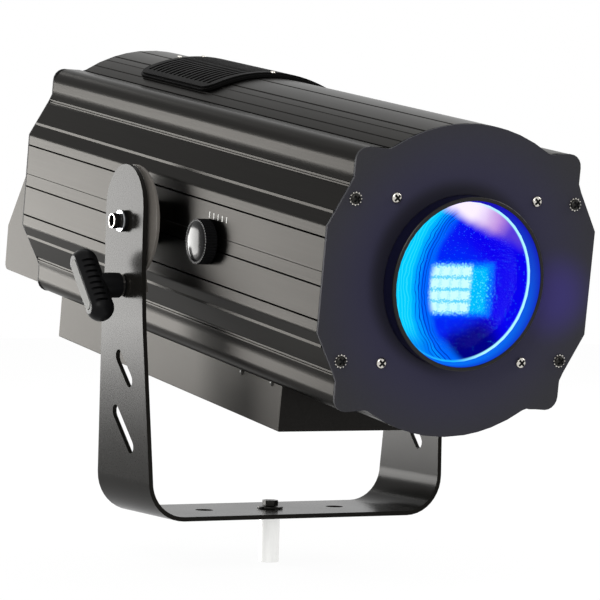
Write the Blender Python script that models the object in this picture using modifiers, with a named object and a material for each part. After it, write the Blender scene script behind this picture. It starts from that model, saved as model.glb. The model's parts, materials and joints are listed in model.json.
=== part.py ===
"""Followspot in a floor yoke, head tipped slightly down at the front.

Units are metres and +Z is up. The beam leaves towards -Y and the head tilts about an axis along X.
The origin is at the lower end of the stand spigot, on its axis. Left is -X, as seen from the front.
Pieces of the head are placed in the head's own frame: its origin is the centre of the front plate's
front face, +Y runs back along the beam's axis, and an empty carries that frame on the tilt axis.
"""

from math import asin, atan2, cos, degrees, hypot, pi, radians, sin, sqrt

import bmesh
import bpy
from mathutils import Matrix, Vector

# Clearances
GAP = 0.0003
RUNNING_GAP = 0.0005

# Head: extruded housing
HEAD_WIDTH = 0.260
HEAD_LENGTH = 0.6013
PLATE_T = 0.0025
WALL = 0.0028
SIDE_FLAT = 0.0885
NECK_X = 0.1120
NECK_Z = 0.0773
LOBE_X = 0.1090
LOBE_TOP = 0.1095
LOBE_RADIUS = 0.0115
LOBE_FOOT = 0.0070
VALLEY_X = 0.0790
VALLEY_DEPTH = 0.0013
ARC_RADIUS = 0.1381
ARC_TOP = 0.1316
ARC_HALF_WIDTH = 0.0750
GROOVE_W = 0.0013
GROOVE_DEPTH = 0.0008
SIDE_GROOVES = (0.006, 0.034)
ARC_GROOVES = (8.0, 19.2)
ARC_STEP = 5.5

# Head: lens and focus drive
TUBE_RADIUS = 0.0725
TUBE_WALL = 0.0027
TUBE_PROUD = 0.016
TUBE_BACK = 0.040
LEDGE_WIDTH = 0.0043
LENS_EDGE_FRONT = -0.0015
LENS_EDGE_T = 0.0055
LENS_SAG = 0.015
CLIP_T = 0.0018
CLIP_WIDTH = 0.0020
CLIP_LIFT = 0.0012
FLANGE_MARGIN = 0.0055
FLANGE_T = 0.0025
INNER_SCREW_INSET_X = 0.0099
INNER_SCREW_INSET_Z = 0.0094
OUTER_SCREW_X = 0.1066
OUTER_SCREW_Z = 0.0670
SCREW_RADIUS = 0.0020
SCREW_LENGTH = 0.012
SCREW_HEAD_RADIUS = 0.0042
SCREW_HEAD_HEIGHT = 0.0024
LOCK_WASHER_RADIUS = 0.0052
LOCK_WASHER_T = 0.0009

KNOB_Y = 0.2065
KNOB_RADIUS = 0.0188
KNOB_HEIGHT = 0.0110
KNOB_DOME = 0.0022
KNOB_FLUTES = 20
KNOB_BORE_DEPTH = 0.0080
SHAFT_RADIUS = 0.0030
PINION_RADIUS = 0.0080
RACK_WIDTH = 0.0140
RACK_T = 0.0060
RACK_LENGTH = 0.1200
CARRIAGE_Y = 0.1900
CARRIAGE_T = 0.0060
CARRIAGE_TOP = 0.0520
CARRIAGE_CLEARANCE = 0.0040
FOCUS_TRAVEL = 0.0400
FOCUS_LENS_RADIUS = 0.0442
FOCUS_LENS_EDGE = 0.0040
FOCUS_LENS_SAG = 0.0090
ROD_X = 0.0580
ROD_Z = -0.0500
ROD_RADIUS = 0.0030

# Head: frame inside, colour wheel, lamp and cooling
FRAME_HALF = 0.0665
FRAME_TOP = 0.0600
TRAY_TOP = -0.0725
TRAY_T = 0.0020
TRAY_FRONT = 0.0600
TRAY_BACK = 0.5600
SHEET_T = 0.0020
FRONT_BULKHEAD_Y = 0.1000
WHEEL_BULKHEAD_Y = 0.3000
LAMP_BULKHEAD_Y = 0.3780
LAMP_BULKHEAD_T = 0.0030
FRONT_APERTURE = 0.0480
WHEEL_APERTURE = 0.0240
WHEEL_RADIUS = 0.0660
WHEEL_T = 0.0020
WHEEL_Y = 0.3085
FILTERS = 7
FILTER_CIRCLE = 0.0460
FILTER_RADIUS = 0.0165
FILTER_T = 0.0012
FILTER_RIM = 0.0190
HUB_RADIUS = 0.0100
HUB_LENGTH = 0.0085
MOTOR_RADIUS = 0.0180
MOTOR_LENGTH = 0.0280
MOTOR_SHAFT = 0.0025
CONDENSER_RADIUS = 0.0285
CONDENSER_EDGE = 0.0050
CONDENSER_SAG = 0.0120
CONDENSER_RING_T = 0.0030
CONDENSER_RING_LENGTH = 0.0280
BOARD_T = 0.0016
EMITTERS = 4
EMITTER_PITCH = 0.0100
EMITTER_SIZE = 0.0080
EMITTER_T = 0.0020
SINK_HALF = 0.0550
SINK_BASE = 0.0060
SINK_DEPTH = 0.0740
SINK_FINS = 12
FIN_T = 0.0022
FAN_HALF = 0.0500
FAN_DEPTH = 0.0250
FAN_BORE = 0.0460
FAN_HUB = 0.0180
FAN_BLADES = 7
BLADE_PITCH = 35.0
BLADE_T = 0.0016
BLADE_CHORD = 0.0220
BLADE_ROOT = 0.0145
BLADE_CLEARANCE = 0.0020
ROTOR_DEPTH = 0.0180
SPOKE_W = 0.0040

# Head: covers outside the housing
VENT_FRONT = 0.3535
VENT_LENGTH = 0.1480
VENT_HALF_ANGLE = 28.8
VENT_T = 0.0048
VENT_SLATS = 15
VENT_PITCH = 0.0087
VENT_SLOT = 0.0044
VENT_BORDER = 0.0060
VENT_OPENING_MARGIN = 0.0040
DRIVER_BOX_HALF = 0.0950
DRIVER_BOX_FRONT = 0.1140
DRIVER_BOX_BACK = 0.5720
DRIVER_BOX_FLOOR = -0.1500
SHELL_T = 0.0020
BELLY_HALF = 0.0600
BELLY_FRONT = 0.2000
BELLY_BACK = 0.5200
SUPPLY_HALF = 0.0500
SUPPLY_FRONT = 0.3450
SUPPLY_BACK = 0.5000
SUPPLY_HEIGHT = 0.0450

# Head: control box behind the rear plate
BOX_HALF = 0.1080
BOX_FLOOR = -0.1010
BOX_DEPTH = 0.0822
BOX_FOOT_RADIUS = 0.0060
PANEL_FOOT_Z = -0.0570
PANEL_HEAD_Z = 0.0750
CABLE_WINDOW_W = 0.1200
CABLE_WINDOW_H = 0.0600
CABLE_WINDOW_Z = -0.0350
DISPLAY_W = 0.0600
DISPLAY_H = 0.0220
DISPLAY_RISE = 0.0240
BUTTONS = 4
BUTTON_PITCH = 0.0180
BUTTON_RADIUS = 0.0045
BUTTON_RISE = -0.0120
BUTTON_PROUD = 0.0020
BUTTON_TRAVEL = 0.0008
BUTTON_FLANGE = 0.0014
SWITCH_RADIUS = 0.0027
CONTROL_BOARD_W = 0.1200
CONTROL_BOARD_H = 0.0760
CONTROL_BOARD_DROP = 0.0080
POST_RADIUS = 0.0030
SOCKET_RADIUS = 0.0110
SOCKET_FLANGE_W = 0.0260
SOCKET_FLANGE_H = 0.0310
SOCKET_FLANGE_T = 0.0022
SOCKET_BODY = 0.0220
SIGNAL_IN_X = 0.0300
SIGNAL_OUT_X = 0.0650
INLET_X = -0.0500
INLET_W = 0.0480
INLET_H = 0.0280
INLET_RECESS_W = 0.0260
INLET_RECESS_H = 0.0180
INLET_RECESS_DEPTH = 0.0140

# Tilt joint
REST_TILT = 7.3
PIVOT_Y = 0.3210
PLATE_RADIUS = 0.0510
PLATE_X = 0.1455
TILT_PLATE_T = 0.0030
BOSS_RADIUS = 0.0200
PIVOT_SCREW_RADIUS = 0.0050
PIVOT_BORE = 0.0053
PIVOT_HEAD_RADIUS = 0.0080
PIVOT_HEAD_HEIGHT = 0.0075
PIVOT_SOCKET = 0.0046
PIVOT_SOCKET_DEPTH = 0.0045
WASHER_RADIUS = 0.0115
WASHER_T = 0.0030
SPRING_WASHER_RADIUS = 0.0120
SPRING_WASHER_T = 0.0013
FRICTION_RADIUS = 0.0300
LOCK_RADIUS = 0.0575
LOCK_STUD = 0.0040
LOCK_BORE = 0.0044
SLOT_HALF_ANGLE = 25.0
LOBE_HALF_ANGLE = 34.0
LOBE_REACH = 0.0700
NUT_SIZE = 0.0160
NUT_T = 0.0080
HUB_FOOT = 0.0125
HUB_HEAD = 0.0110
HANDLE_RISE = 0.0180
HANDLE_DEPTH = 0.0220
HANDLE_LENGTH = 0.0740
HANDLE_WIDTH = 0.0180
HANDLE_ROUND = 0.0060
HANDLE_TURN = 42.7

# Yoke and stand fittings
STRIP_T = 0.0040
ARM_X = 0.1560
ARM_FOOT_X = 0.1508
ARM_STRAIGHT = 0.0700
ARM_LEAN_RUN = 0.0400
BEND_RADIUS = 0.0360
PIVOT_TO_BASE = 0.2650
ARM_HALF = 0.0380
ARM_TOP_CENTRE = 0.0130
ARM_TAPER_START = -0.0400
ARM_TAPER_END = -0.2280
STRIP_HALF = 0.0530
SLOT_RADIUS = 0.0062
SLOTS = (((0.0066, -0.1212), (-0.0143, -0.1419)), ((0.0143, -0.1713), (-0.0154, -0.2010)))
CLAMP_HOLE_X = 0.0680
CLAMP_HOLE_RADIUS = 0.0082
SPIGOT_LENGTH = 0.0450
SPIGOT_RADIUS = 0.0093
BOLT_RADIUS = 0.0040
BOLT_BORE = 0.0044
BOLT_DEPTH = 0.0200
BOLT_HEAD_RADIUS = 0.0075
BOLT_HEAD_HEIGHT = 0.0055
BOLT_WASHER_RADIUS = 0.0120
BOLT_WASHER_T = 0.0016

# Values worked out from the sizes above
HALF = HEAD_WIDTH / 2
BACK_FACE = HEAD_LENGTH - PLATE_T
HOUSING_FRONT = PLATE_T + GAP
HOUSING_BACK = BACK_FACE - GAP
ARC_CENTRE_Z = ARC_TOP - ARC_RADIUS
TRAY_BOTTOM = TRAY_TOP - TRAY_T
PIVOT_Z = SPIGOT_LENGTH + GAP + PIVOT_TO_BASE
ARM_INNER = ARM_X - STRIP_T
LENS_RADIUS = TUBE_RADIUS - TUBE_WALL - GAP
FLANGE_HALF = TUBE_RADIUS + FLANGE_MARGIN
INNER_SCREW_X = FLANGE_HALF - INNER_SCREW_INSET_X
INNER_SCREW_Z = FLANGE_HALF - INNER_SCREW_INSET_Z
LAMP_BACK = LAMP_BULKHEAD_Y + LAMP_BULKHEAD_T
SINK_FRONT = LAMP_BACK + GAP
FAN_FRONT = SINK_FRONT + SINK_DEPTH + GAP
BOX_BACK = HEAD_LENGTH + GAP + BOX_DEPTH
SIDES = (("left", -1), ("right", 1))

# Turns of a flat outline or a turned piece: outline upright facing the front, outline upright facing
# the side, and lying flat
FACING_FRONT = (pi / 2, 0.0, 0.0)
FACING_SIDE = (pi / 2, 0.0, pi / 2)
FLAT = (0.0, 0.0, 0.0)


# Scene, collections and materials

def clear_scene():
    """Removes every object of the open scene."""
    for old in list(bpy.data.objects):
        bpy.data.objects.remove(old, do_unlink=True)


def new_collection(name):
    """Makes a collection and links it to the scene."""
    collection = bpy.data.collections.new(name)
    bpy.context.scene.collection.children.link(collection)
    return collection


def material(name, colour, roughness, metallic):
    """A plain Principled material."""
    made = bpy.data.materials.new(name)
    made.use_nodes = True
    shader = made.node_tree.nodes["Principled BSDF"]
    shader.inputs["Base Color"].default_value = (*colour, 1.0)
    shader.inputs["Roughness"].default_value = roughness
    shader.inputs["Metallic"].default_value = metallic
    return made


clear_scene()
PARTS = new_collection("followspot")
CUTTERS = new_collection("cutters")
FINISHES = {
    "anodised": material("anodised_housing", (0.16, 0.155, 0.145), 0.38, 0.8),
    "black_paint": material("black_painted_plate", (0.03, 0.03, 0.033), 0.55, 0.0),
    "yoke_paint": material("yoke_paint", (0.18, 0.175, 0.165), 0.42, 0.6),
    "black_plastic": material("black_plastic", (0.015, 0.015, 0.016), 0.35, 0.0),
    "bright_steel": material("bright_steel", (0.65, 0.64, 0.62), 0.25, 1.0),
    "black_steel": material("blackened_steel", (0.04, 0.04, 0.04), 0.4, 0.8),
    "zinc": material("zinc_plate", (0.55, 0.56, 0.57), 0.35, 1.0),
    "aluminium": material("aluminium", (0.6, 0.6, 0.6), 0.35, 1.0),
    "glass": material("glass", (0.75, 0.85, 0.95), 0.03, 0.0),
    "filters": material("filter_glass", (0.1, 0.25, 0.9), 0.05, 0.0),
    "board": material("circuit_board", (0.03, 0.18, 0.08), 0.45, 0.0),
    "lamp": material("lamp_board", (0.85, 0.88, 0.9), 0.3, 0.0),
    "fibre": material("friction_fibre", (0.05, 0.045, 0.04), 0.8, 0.0),
    "screen": material("display_window", (0.02, 0.04, 0.09), 0.1, 0.0),
}


# Points of outlines

def arc_points(centre, radius, start, end, steps):
    """Points along an arc, both ends included, angles in degrees."""
    angles = [radians(start + (end - start) * step / steps) for step in range(steps + 1)]
    return [(centre[0] + radius * cos(angle), centre[1] + radius * sin(angle)) for angle in angles]


def circle_points(centre, radius, steps):
    """Points round a full circle."""
    return arc_points(centre, radius, 0.0, 360.0, steps)[:-1]


def rectangle(x0, x1, y0, y1):
    """The four corners of a rectangle."""
    return [(x0, y0), (x1, y0), (x1, y1), (x0, y1)]


def stadium(start, end, radius, steps):
    """A slot's outline with round ends round two centres."""
    heading = degrees(atan2(end[1] - start[1], end[0] - start[0]))
    near = arc_points(start, radius, heading + 90.0, heading + 270.0, steps)
    far = arc_points(end, radius, heading - 90.0, heading + 90.0, steps)
    return near + far


def offset_path(points, distance, closed):
    """A path moved sideways to its left, with mitred corners."""
    count = len(points)
    moved = []
    for index, point in enumerate(points):
        before = points[index - 1] if closed or index else None
        after = points[(index + 1) % count] if closed or index < count - 1 else None
        normals = []
        for first, second in ((before, point), (point, after)):
            if first is None or second is None:
                continue
            run = Vector(second) - Vector(first)
            normals.append(Vector((-run.y, run.x)).normalized())
        middle = sum(normals, Vector((0.0, 0.0))).normalized()
        reach = distance / middle.dot(normals[0])
        moved.append((point[0] + middle.x * reach, point[1] + middle.y * reach))
    return moved


def groove(point, normal):
    """Four points of a square groove cut into an outline at a point, in the order of the outline."""
    along = Vector((-normal[1], normal[0])) * (GROOVE_W / 2)
    inward = Vector(normal) * -GROOVE_DEPTH
    place = Vector(point)
    return [tuple(place - along), tuple(place - along + inward), tuple(place + along + inward),
            tuple(place + along)]


def arc_surface(angle, lift=0.0):
    """A point of the housing's crown, by its angle from straight up."""
    radius = ARC_RADIUS + lift
    return (radius * sin(radians(angle)), ARC_CENTRE_Z + radius * cos(radians(angle)))


def crown_angles():
    """Angles of the crown's points from straight up, from its foot to its middle."""
    edge = degrees(asin(ARC_HALF_WIDTH / ARC_RADIUS))
    stops = [edge, *sorted(ARC_GROOVES, reverse=True), 0.0]
    angles = [edge]
    for first, second in zip(stops, stops[1:]):
        steps = max(1, round((first - second) / ARC_STEP))
        angles += [first + (second - first) * step / steps for step in range(1, steps)]
        angles.append(second)
    return angles


def housing_quarter(grooved):
    """The housing's outline from its right side up to the middle of its crown."""
    points = []
    if grooved:
        for height in SIDE_GROOVES:
            points += groove((HALF, height), (1.0, 0.0))
    points.append((HALF, SIDE_FLAT / 2))
    points.append((NECK_X, NECK_Z))
    points.append((LOBE_X, NECK_Z + LOBE_FOOT))
    lobe_centre = (LOBE_X - LOBE_RADIUS, LOBE_TOP - LOBE_RADIUS)
    points += arc_points(lobe_centre, LOBE_RADIUS, 0.0, 90.0, 5)
    points.append((VALLEY_X, LOBE_TOP - VALLEY_DEPTH))
    for angle in crown_angles()[:-1]:
        if grooved and angle in ARC_GROOVES:
            points += groove(arc_surface(angle), (sin(radians(angle)), cos(radians(angle))))
        else:
            points.append(arc_surface(angle))
    return points


def housing_outline(grooved=False, grow=0.0):
    """The housing's whole outline, anticlockwise from its right side."""
    quarter = housing_quarter(grooved)
    upper = quarter + [arc_surface(0.0)] + [(-x, z) for x, z in reversed(quarter)]
    lower = [(-x, -z) for x, z in upper]
    outline = upper + lower
    return offset_path(outline, -grow, True) if grow else outline


def facet_inner_x(height, clearance):
    """Half the width inside the housing, less a clearance, at a height on its slanted facets."""
    run = Vector((NECK_X - HALF, NECK_Z - SIDE_FLAT / 2))
    normal = Vector((run.y, -run.x)).normalized()
    reach = normal.dot(Vector((HALF, SIDE_FLAT / 2))) - WALL - clearance
    return (reach - normal.y * abs(height)) / normal.x


# Building pieces

def empty(name, parent=None, location=(0.0, 0.0, 0.0), rotation=(0.0, 0.0, 0.0)):
    """An empty that carries a frame."""
    frame = bpy.data.objects.new(name, None)
    frame.empty_display_size = 0.05
    PARTS.objects.link(frame)
    frame.parent = parent
    frame.location = location
    frame.rotation_euler = rotation
    return frame


def piece(name, mesh, finish, parent=None, location=(0.0, 0.0, 0.0), rotation=FLAT):
    """A sub-part, or a cutter where no finish is given."""
    made = bpy.data.objects.new(name, mesh)
    made.parent = parent
    made.location = location
    made.rotation_euler = rotation
    if finish is None:
        CUTTERS.objects.link(made)
        made.hide_render = True
        made.display_type = "WIRE"
    else:
        PARTS.objects.link(made)
        mesh.materials.append(FINISHES[finish])
    return made


def boolean(target, tool, operation):
    """Cuts, joins or intersects a piece with a cutter."""
    modifier = target.modifiers.new(operation.lower(), "BOOLEAN")
    modifier.object = tool
    modifier.operation = operation
    modifier.solver = "EXACT"
    return target


def prism_mesh(name, outlines, thickness):
    """A flat outline with its holes, as a welded mesh of even thickness about its own plane."""
    curve = bpy.data.curves.new(name, "CURVE")
    curve.dimensions = "2D"
    curve.fill_mode = "BOTH"
    curve.extrude = thickness / 2
    for outline in outlines:
        spline = curve.splines.new("POLY")
        spline.points.add(len(outline) - 1)
        for control, (x, y) in zip(spline.points, outline):
            control.co = (x, y, 0.0, 1.0)
        spline.use_cyclic_u = True
    holder = bpy.data.objects.new(name, curve)
    bpy.context.scene.collection.objects.link(holder)
    evaluated = holder.evaluated_get(bpy.context.evaluated_depsgraph_get())
    mesh = bpy.data.meshes.new_from_object(evaluated)
    bpy.data.objects.remove(holder)
    bpy.data.curves.remove(curve)
    shape = bmesh.new()
    shape.from_mesh(mesh)
    bmesh.ops.remove_doubles(shape, verts=shape.verts, dist=0.00001)
    bmesh.ops.recalc_face_normals(shape, faces=shape.faces)
    shape.to_mesh(mesh)
    shape.free()
    mesh.name = name
    return mesh


def prism(name, outlines, thickness, finish, parent=None, location=(0.0, 0.0, 0.0), rotation=FLAT):
    """A piece, or cutter, made from a flat outline."""
    return piece(name, prism_mesh(name, outlines, thickness), finish, parent, location, rotation)


def block_mesh(name, boxes):
    """Boxes given by their lowest and highest corners, or by a size and a matrix."""
    shape = bmesh.new()
    for first, second in boxes:
        if isinstance(second, Matrix):
            place = second @ Matrix.Diagonal((*first, 1.0))
        else:
            size = [high - low for low, high in zip(first, second)]
            middle = [(high + low) / 2 for low, high in zip(first, second)]
            place = Matrix.Translation(middle) @ Matrix.Diagonal((*size, 1.0))
        bmesh.ops.create_cube(shape, size=1.0, matrix=place)
    mesh = bpy.data.meshes.new(name)
    shape.to_mesh(mesh)
    shape.free()
    return mesh


def block(name, boxes, finish, parent=None, location=(0.0, 0.0, 0.0), rotation=FLAT):
    """A piece, or cutter, made from boxes."""
    return piece(name, block_mesh(name, boxes), finish, parent, location, rotation)


def rods_mesh(name, radius, length, places, segments):
    """Cylinders along Z of one size at several places, as one mesh."""
    shape = bmesh.new()
    for place in places:
        bmesh.ops.create_cone(shape, cap_ends=True, segments=segments, radius1=radius, radius2=radius,
                              depth=length, matrix=Matrix.Translation(place))
    mesh = bpy.data.meshes.new(name)
    shape.to_mesh(mesh)
    shape.free()
    return mesh


def rods(name, radius, length, places, finish, parent=None, location=(0.0, 0.0, 0.0), rotation=FLAT,
         segments=20):
    """A piece, or cutter, of one or more cylinders."""
    mesh = rods_mesh(name, radius, length, places, segments)
    return piece(name, mesh, finish, parent, location, rotation)


def turned(name, profile, steps, finish, parent=None, location=(0.0, 0.0, 0.0), rotation=FLAT,
           ring=False):
    """A turned piece about Z. Its profile of radius and height runs down the outer side."""
    shape = bmesh.new()
    corners = [shape.verts.new((radius, 0.0, height)) for radius, height in profile]
    for first, second in zip(corners, corners[1:]):
        shape.edges.new((first, second))
    if ring:
        shape.edges.new((corners[-1], corners[0]))
    mesh = bpy.data.meshes.new(name)
    shape.to_mesh(mesh)
    shape.free()
    made = piece(name, mesh, finish, parent, location, rotation)
    screw = made.modifiers.new("turn", "SCREW")
    screw.steps = steps
    screw.render_steps = steps
    screw.use_merge_vertices = True
    screw.merge_threshold = 0.00002
    screw.use_smooth_shade = False
    return made


def ring_profile(inner, outer, low, high):
    """A plain ring's profile, down its outer side and up its bore."""
    return [(outer, high), (outer, low), (inner, low), (inner, high)]


def cap_profile(radius, sag, edge_height, steps):
    """A dome's profile from its top down to its rim."""
    sphere = (radius ** 2 + sag ** 2) / (2 * sag)
    reach = asin(radius / sphere)
    points = []
    for step in range(steps + 1):
        angle = reach * step / steps
        points.append((sphere * sin(angle), edge_height + sag - sphere * (1 - cos(angle))))
    return points


def side_turn(side):
    """The turn that points a turned piece's axis outwards on one side."""
    return (0.0, side * pi / 2, 0.0)


# Stand fittings and yoke

def stand_fittings():
    """Spigot, washer and bolt under and on the yoke's base."""
    top = SPIGOT_LENGTH
    bore_floor = top - BOLT_DEPTH - GAP * 2
    turned("stand_spigot", [(0.0, bore_floor), (BOLT_BORE, bore_floor), (BOLT_BORE, top),
                            (SPIGOT_RADIUS, top), (SPIGOT_RADIUS, 0.0), (0.0, 0.0)], 28, "zinc")
    base_top = top + GAP + STRIP_T
    washer = ring_profile(BOLT_BORE, BOLT_WASHER_RADIUS, base_top + GAP, base_top + GAP + BOLT_WASHER_T)
    turned("stand_washer", washer, 20, "black_steel", ring=True)
    seat = base_top + GAP * 2 + BOLT_WASHER_T
    shank_end = top - BOLT_DEPTH
    shank = seat + BOLT_HEAD_HEIGHT / 2 - shank_end
    bolt = rods("stand_bolt", BOLT_HEAD_RADIUS, BOLT_HEAD_HEIGHT, [(0.0, 0.0, 0.0)], "black_steel",
                location=(0.0, 0.0, seat + BOLT_HEAD_HEIGHT / 2), segments=6)
    stem = rods("stand_bolt_shank", BOLT_RADIUS, shank, [(0.0, 0.0, 0.0)], None,
                location=(0.0, 0.0, shank_end + shank / 2), segments=16)
    boolean(bolt, stem, "UNION")


def yoke():
    """One bent strip: its front view, cut to its side view, with its holes and slots."""
    lean_end = PIVOT_Z - ARM_STRAIGHT - ARM_LEAN_RUN
    bend_top = PIVOT_Z - PIVOT_TO_BASE + BEND_RADIUS
    slope = (ARM_X - ARM_FOOT_X) / (PIVOT_Z - ARM_STRAIGHT - ARM_LEAN_RUN / 2 - bend_top)
    right = [(ARM_X, PIVOT_Z + ARM_HALF + ARM_TOP_CENTRE + RUNNING_GAP)]
    for step in range(4):
        share = step / 3
        fall = ARM_LEAN_RUN * share
        right.append((ARM_X - slope * fall * share / 2, PIVOT_Z - ARM_STRAIGHT - fall))
    foot_shift = slope * (lean_end - bend_top)
    foot_x = right[-1][0] - foot_shift
    bend_centre = (foot_x - BEND_RADIUS, bend_top)
    right += arc_points(bend_centre, BEND_RADIUS, 0.0, -90.0, 10)
    outer = right + [(-x, z) for x, z in reversed(right)]
    inner = offset_path(outer, -STRIP_T, False)
    strip = prism("yoke", [outer + inner[::-1]], STRIP_HALF * 2, "yoke_paint", rotation=FACING_FRONT)

    def level(height):
        return PIVOT_Z + height

    top = arc_points((0.0, level(ARM_TOP_CENTRE)), ARM_HALF, 0.0, 180.0, 16)
    foot = level(-PIVOT_TO_BASE) - STRIP_T
    left_edge = [(-ARM_HALF, level(ARM_TAPER_START)), (-STRIP_HALF, level(ARM_TAPER_END)),
                 (-STRIP_HALF, foot)]
    side_view = top + left_edge + [(-y, z) for y, z in reversed(left_edge)]
    across = ARM_X * 2 + STRIP_T * 2
    boolean(strip, prism("yoke_side_view", [side_view], across, None, rotation=FACING_SIDE), "INTERSECT")
    for index, (start, end) in enumerate(SLOTS):
        slot = stadium((start[0], level(start[1])), (end[0], level(end[1])), SLOT_RADIUS, 6)
        boolean(strip, prism(f"yoke_slot_{index}", [slot], across, None, rotation=FACING_SIDE),
                "DIFFERENCE")
    for name, radius, height in (("pivot", PIVOT_BORE, 0.0), ("lock", LOCK_BORE, -LOCK_RADIUS)):
        hole = rods(f"yoke_{name}_hole", radius, across, [(0.0, 0.0, 0.0)], None,
                    location=(0.0, 0.0, level(height)), rotation=side_turn(1))
        boolean(strip, hole, "DIFFERENCE")
    base = (0.0, 0.0, SPIGOT_LENGTH + GAP + STRIP_T / 2)
    clamp_holes = rods("yoke_clamp_holes", CLAMP_HOLE_RADIUS, STRIP_T * 3,
                       [(-CLAMP_HOLE_X, 0.0, 0.0), (CLAMP_HOLE_X, 0.0, 0.0)], None, location=base)
    boolean(strip, clamp_holes, "DIFFERENCE")
    boolean(strip, rods("yoke_bolt_hole", BOLT_BORE, STRIP_T * 3, [(0.0, 0.0, 0.0)], None,
                        location=base), "DIFFERENCE")


# Tilt joint

def tilt_plate_outline():
    """A disc with a lobe below it that reaches past the lock stud."""
    lobe = arc_points((0.0, 0.0), LOBE_REACH, -90.0 - LOBE_HALF_ANGLE, -90.0 + LOBE_HALF_ANGLE, 12)
    disc = arc_points((0.0, 0.0), PLATE_RADIUS, -90.0 + LOBE_HALF_ANGLE + 3.0,
                      270.0 - LOBE_HALF_ANGLE - 3.0, 26)
    return lobe + disc


def lock_slot_outline():
    """The curved slot that the lock stud runs in."""
    low, high = -90.0 - SLOT_HALF_ANGLE, -90.0 + SLOT_HALF_ANGLE
    half = LOCK_BORE
    ends = [(LOCK_RADIUS * cos(radians(angle)), LOCK_RADIUS * sin(radians(angle)))
            for angle in (low, high)]
    outer = arc_points((0.0, 0.0), LOCK_RADIUS + half, low, high, 10)
    right_end = arc_points(ends[1], half, high, high + 180.0, 6)[1:-1]
    inner = arc_points((0.0, 0.0), LOCK_RADIUS - half, high, low, 10)
    left_end = arc_points(ends[0], half, low + 180.0, low + 360.0, 6)[1:-1]
    return outer + right_end + inner + left_end


def tilt_joint(tilt_axis):
    """Both pivots: plate on the head, friction washer, screw and washers, lock knob and its nut."""
    for label, side in SIDES:
        plate_holes = [circle_points((0.0, 0.0), PIVOT_BORE, 16), lock_slot_outline()]
        plate = prism(f"tilt_plate_{label}", [tilt_plate_outline(), *plate_holes], TILT_PLATE_T,
                      "bright_steel", tilt_axis, (side * (PLATE_X + TILT_PLATE_T / 2), 0.0, 0.0),
                      FACING_SIDE)
        boss_length = PLATE_X - HALF - GAP + TILT_PLATE_T / 2
        boss = prism(f"tilt_boss_{label}", [circle_points((0.0, 0.0), BOSS_RADIUS, 24),
                                            circle_points((0.0, 0.0), PIVOT_BORE, 16)],
                     boss_length, None, tilt_axis, (side * (HALF + GAP + boss_length / 2), 0.0, 0.0),
                     FACING_SIDE)
        boolean(plate, boss, "UNION")
        pivot_stack(label, side, tilt_axis)
        lock_knob(label, side)


def pivot_stack(label, side, tilt_axis):
    """Friction washer inside the arm, two washers outside it and the socket screw through all."""
    centre = (0.0, 0.0, PIVOT_Z)
    turn = side_turn(side)
    friction_inner = PLATE_X + TILT_PLATE_T + GAP
    turned(f"friction_washer_{label}",
           ring_profile(PIVOT_BORE, FRICTION_RADIUS, friction_inner, ARM_INNER - GAP), 20, "fibre",
           None, centre, turn, ring=True)
    first = ARM_X + GAP
    turned(f"pivot_washer_{label}", ring_profile(PIVOT_BORE, WASHER_RADIUS, first, first + WASHER_T),
           20, "black_plastic", None, centre, turn, ring=True)
    second = first + WASHER_T + GAP
    turned(f"spring_washer_{label}",
           ring_profile(PIVOT_BORE, SPRING_WASHER_RADIUS, second, second + SPRING_WASHER_T),
           20, "bright_steel", None, centre, turn, ring=True)
    seat = second + SPRING_WASHER_T + GAP
    top = seat + PIVOT_HEAD_HEIGHT
    tip = HALF + GAP * 2
    turned(f"pivot_screw_{label}",
           [(0.0, top - PIVOT_SOCKET_DEPTH), (PIVOT_SOCKET, top - PIVOT_SOCKET_DEPTH),
            (PIVOT_SOCKET, top), (PIVOT_HEAD_RADIUS, top), (PIVOT_HEAD_RADIUS, seat),
            (PIVOT_SCREW_RADIUS, seat), (PIVOT_SCREW_RADIUS, tip), (0.0, tip)],
           20, "bright_steel", tilt_axis, (0.0, 0.0, 0.0), turn)


def lock_knob(label, side):
    """Handle, hub and stud as one piece on the arm, and the square nut behind the tilt plate."""
    nut_inner = PLATE_X - GAP - NUT_T
    stud_tip = nut_inner - ARM_X - GAP * 4
    grip = HANDLE_RISE + HANDLE_DEPTH
    seat = (side * ARM_X, 0.0, PIVOT_Z - LOCK_RADIUS)
    turn = (0.0, side * pi / 2, 0.0)
    knob = turned(f"lock_knob_{label}",
                  [(0.0, grip - HANDLE_ROUND), (HUB_HEAD, grip - HANDLE_ROUND), (HUB_HEAD, HANDLE_RISE),
                   (HUB_FOOT, GAP), (LOCK_STUD, GAP), (LOCK_STUD, stud_tip), (0.0, stud_tip)],
                  20, "black_plastic", None, seat, turn)
    reach = HANDLE_LENGTH / 2 - HANDLE_WIDTH / 2
    lean = radians(HANDLE_TURN)
    along = Vector((cos(lean), -side * sin(lean))) * reach
    handle = prism(f"lock_handle_{label}",
                   [stadium(tuple(-along), tuple(along), HANDLE_WIDTH / 2, 8)], HANDLE_DEPTH, None)
    rounding = handle.modifiers.new("round", "BEVEL")
    rounding.width = HANDLE_ROUND
    rounding.segments = 2
    handle.location = (side * (ARM_X + HANDLE_RISE + HANDLE_DEPTH / 2), 0.0, PIVOT_Z - LOCK_RADIUS)
    handle.rotation_euler = turn
    boolean(knob, handle, "UNION")
    half = NUT_SIZE / 2
    prism(f"clamp_nut_{label}", [rectangle(-half, half, -half, half),
                                 circle_points((0.0, 0.0), LOCK_BORE, 16)], NUT_T, "zinc", None,
          (side * (nut_inner + NUT_T / 2), 0.0, PIVOT_Z - LOCK_RADIUS), FACING_SIDE)


# Head: housing and covers

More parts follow.
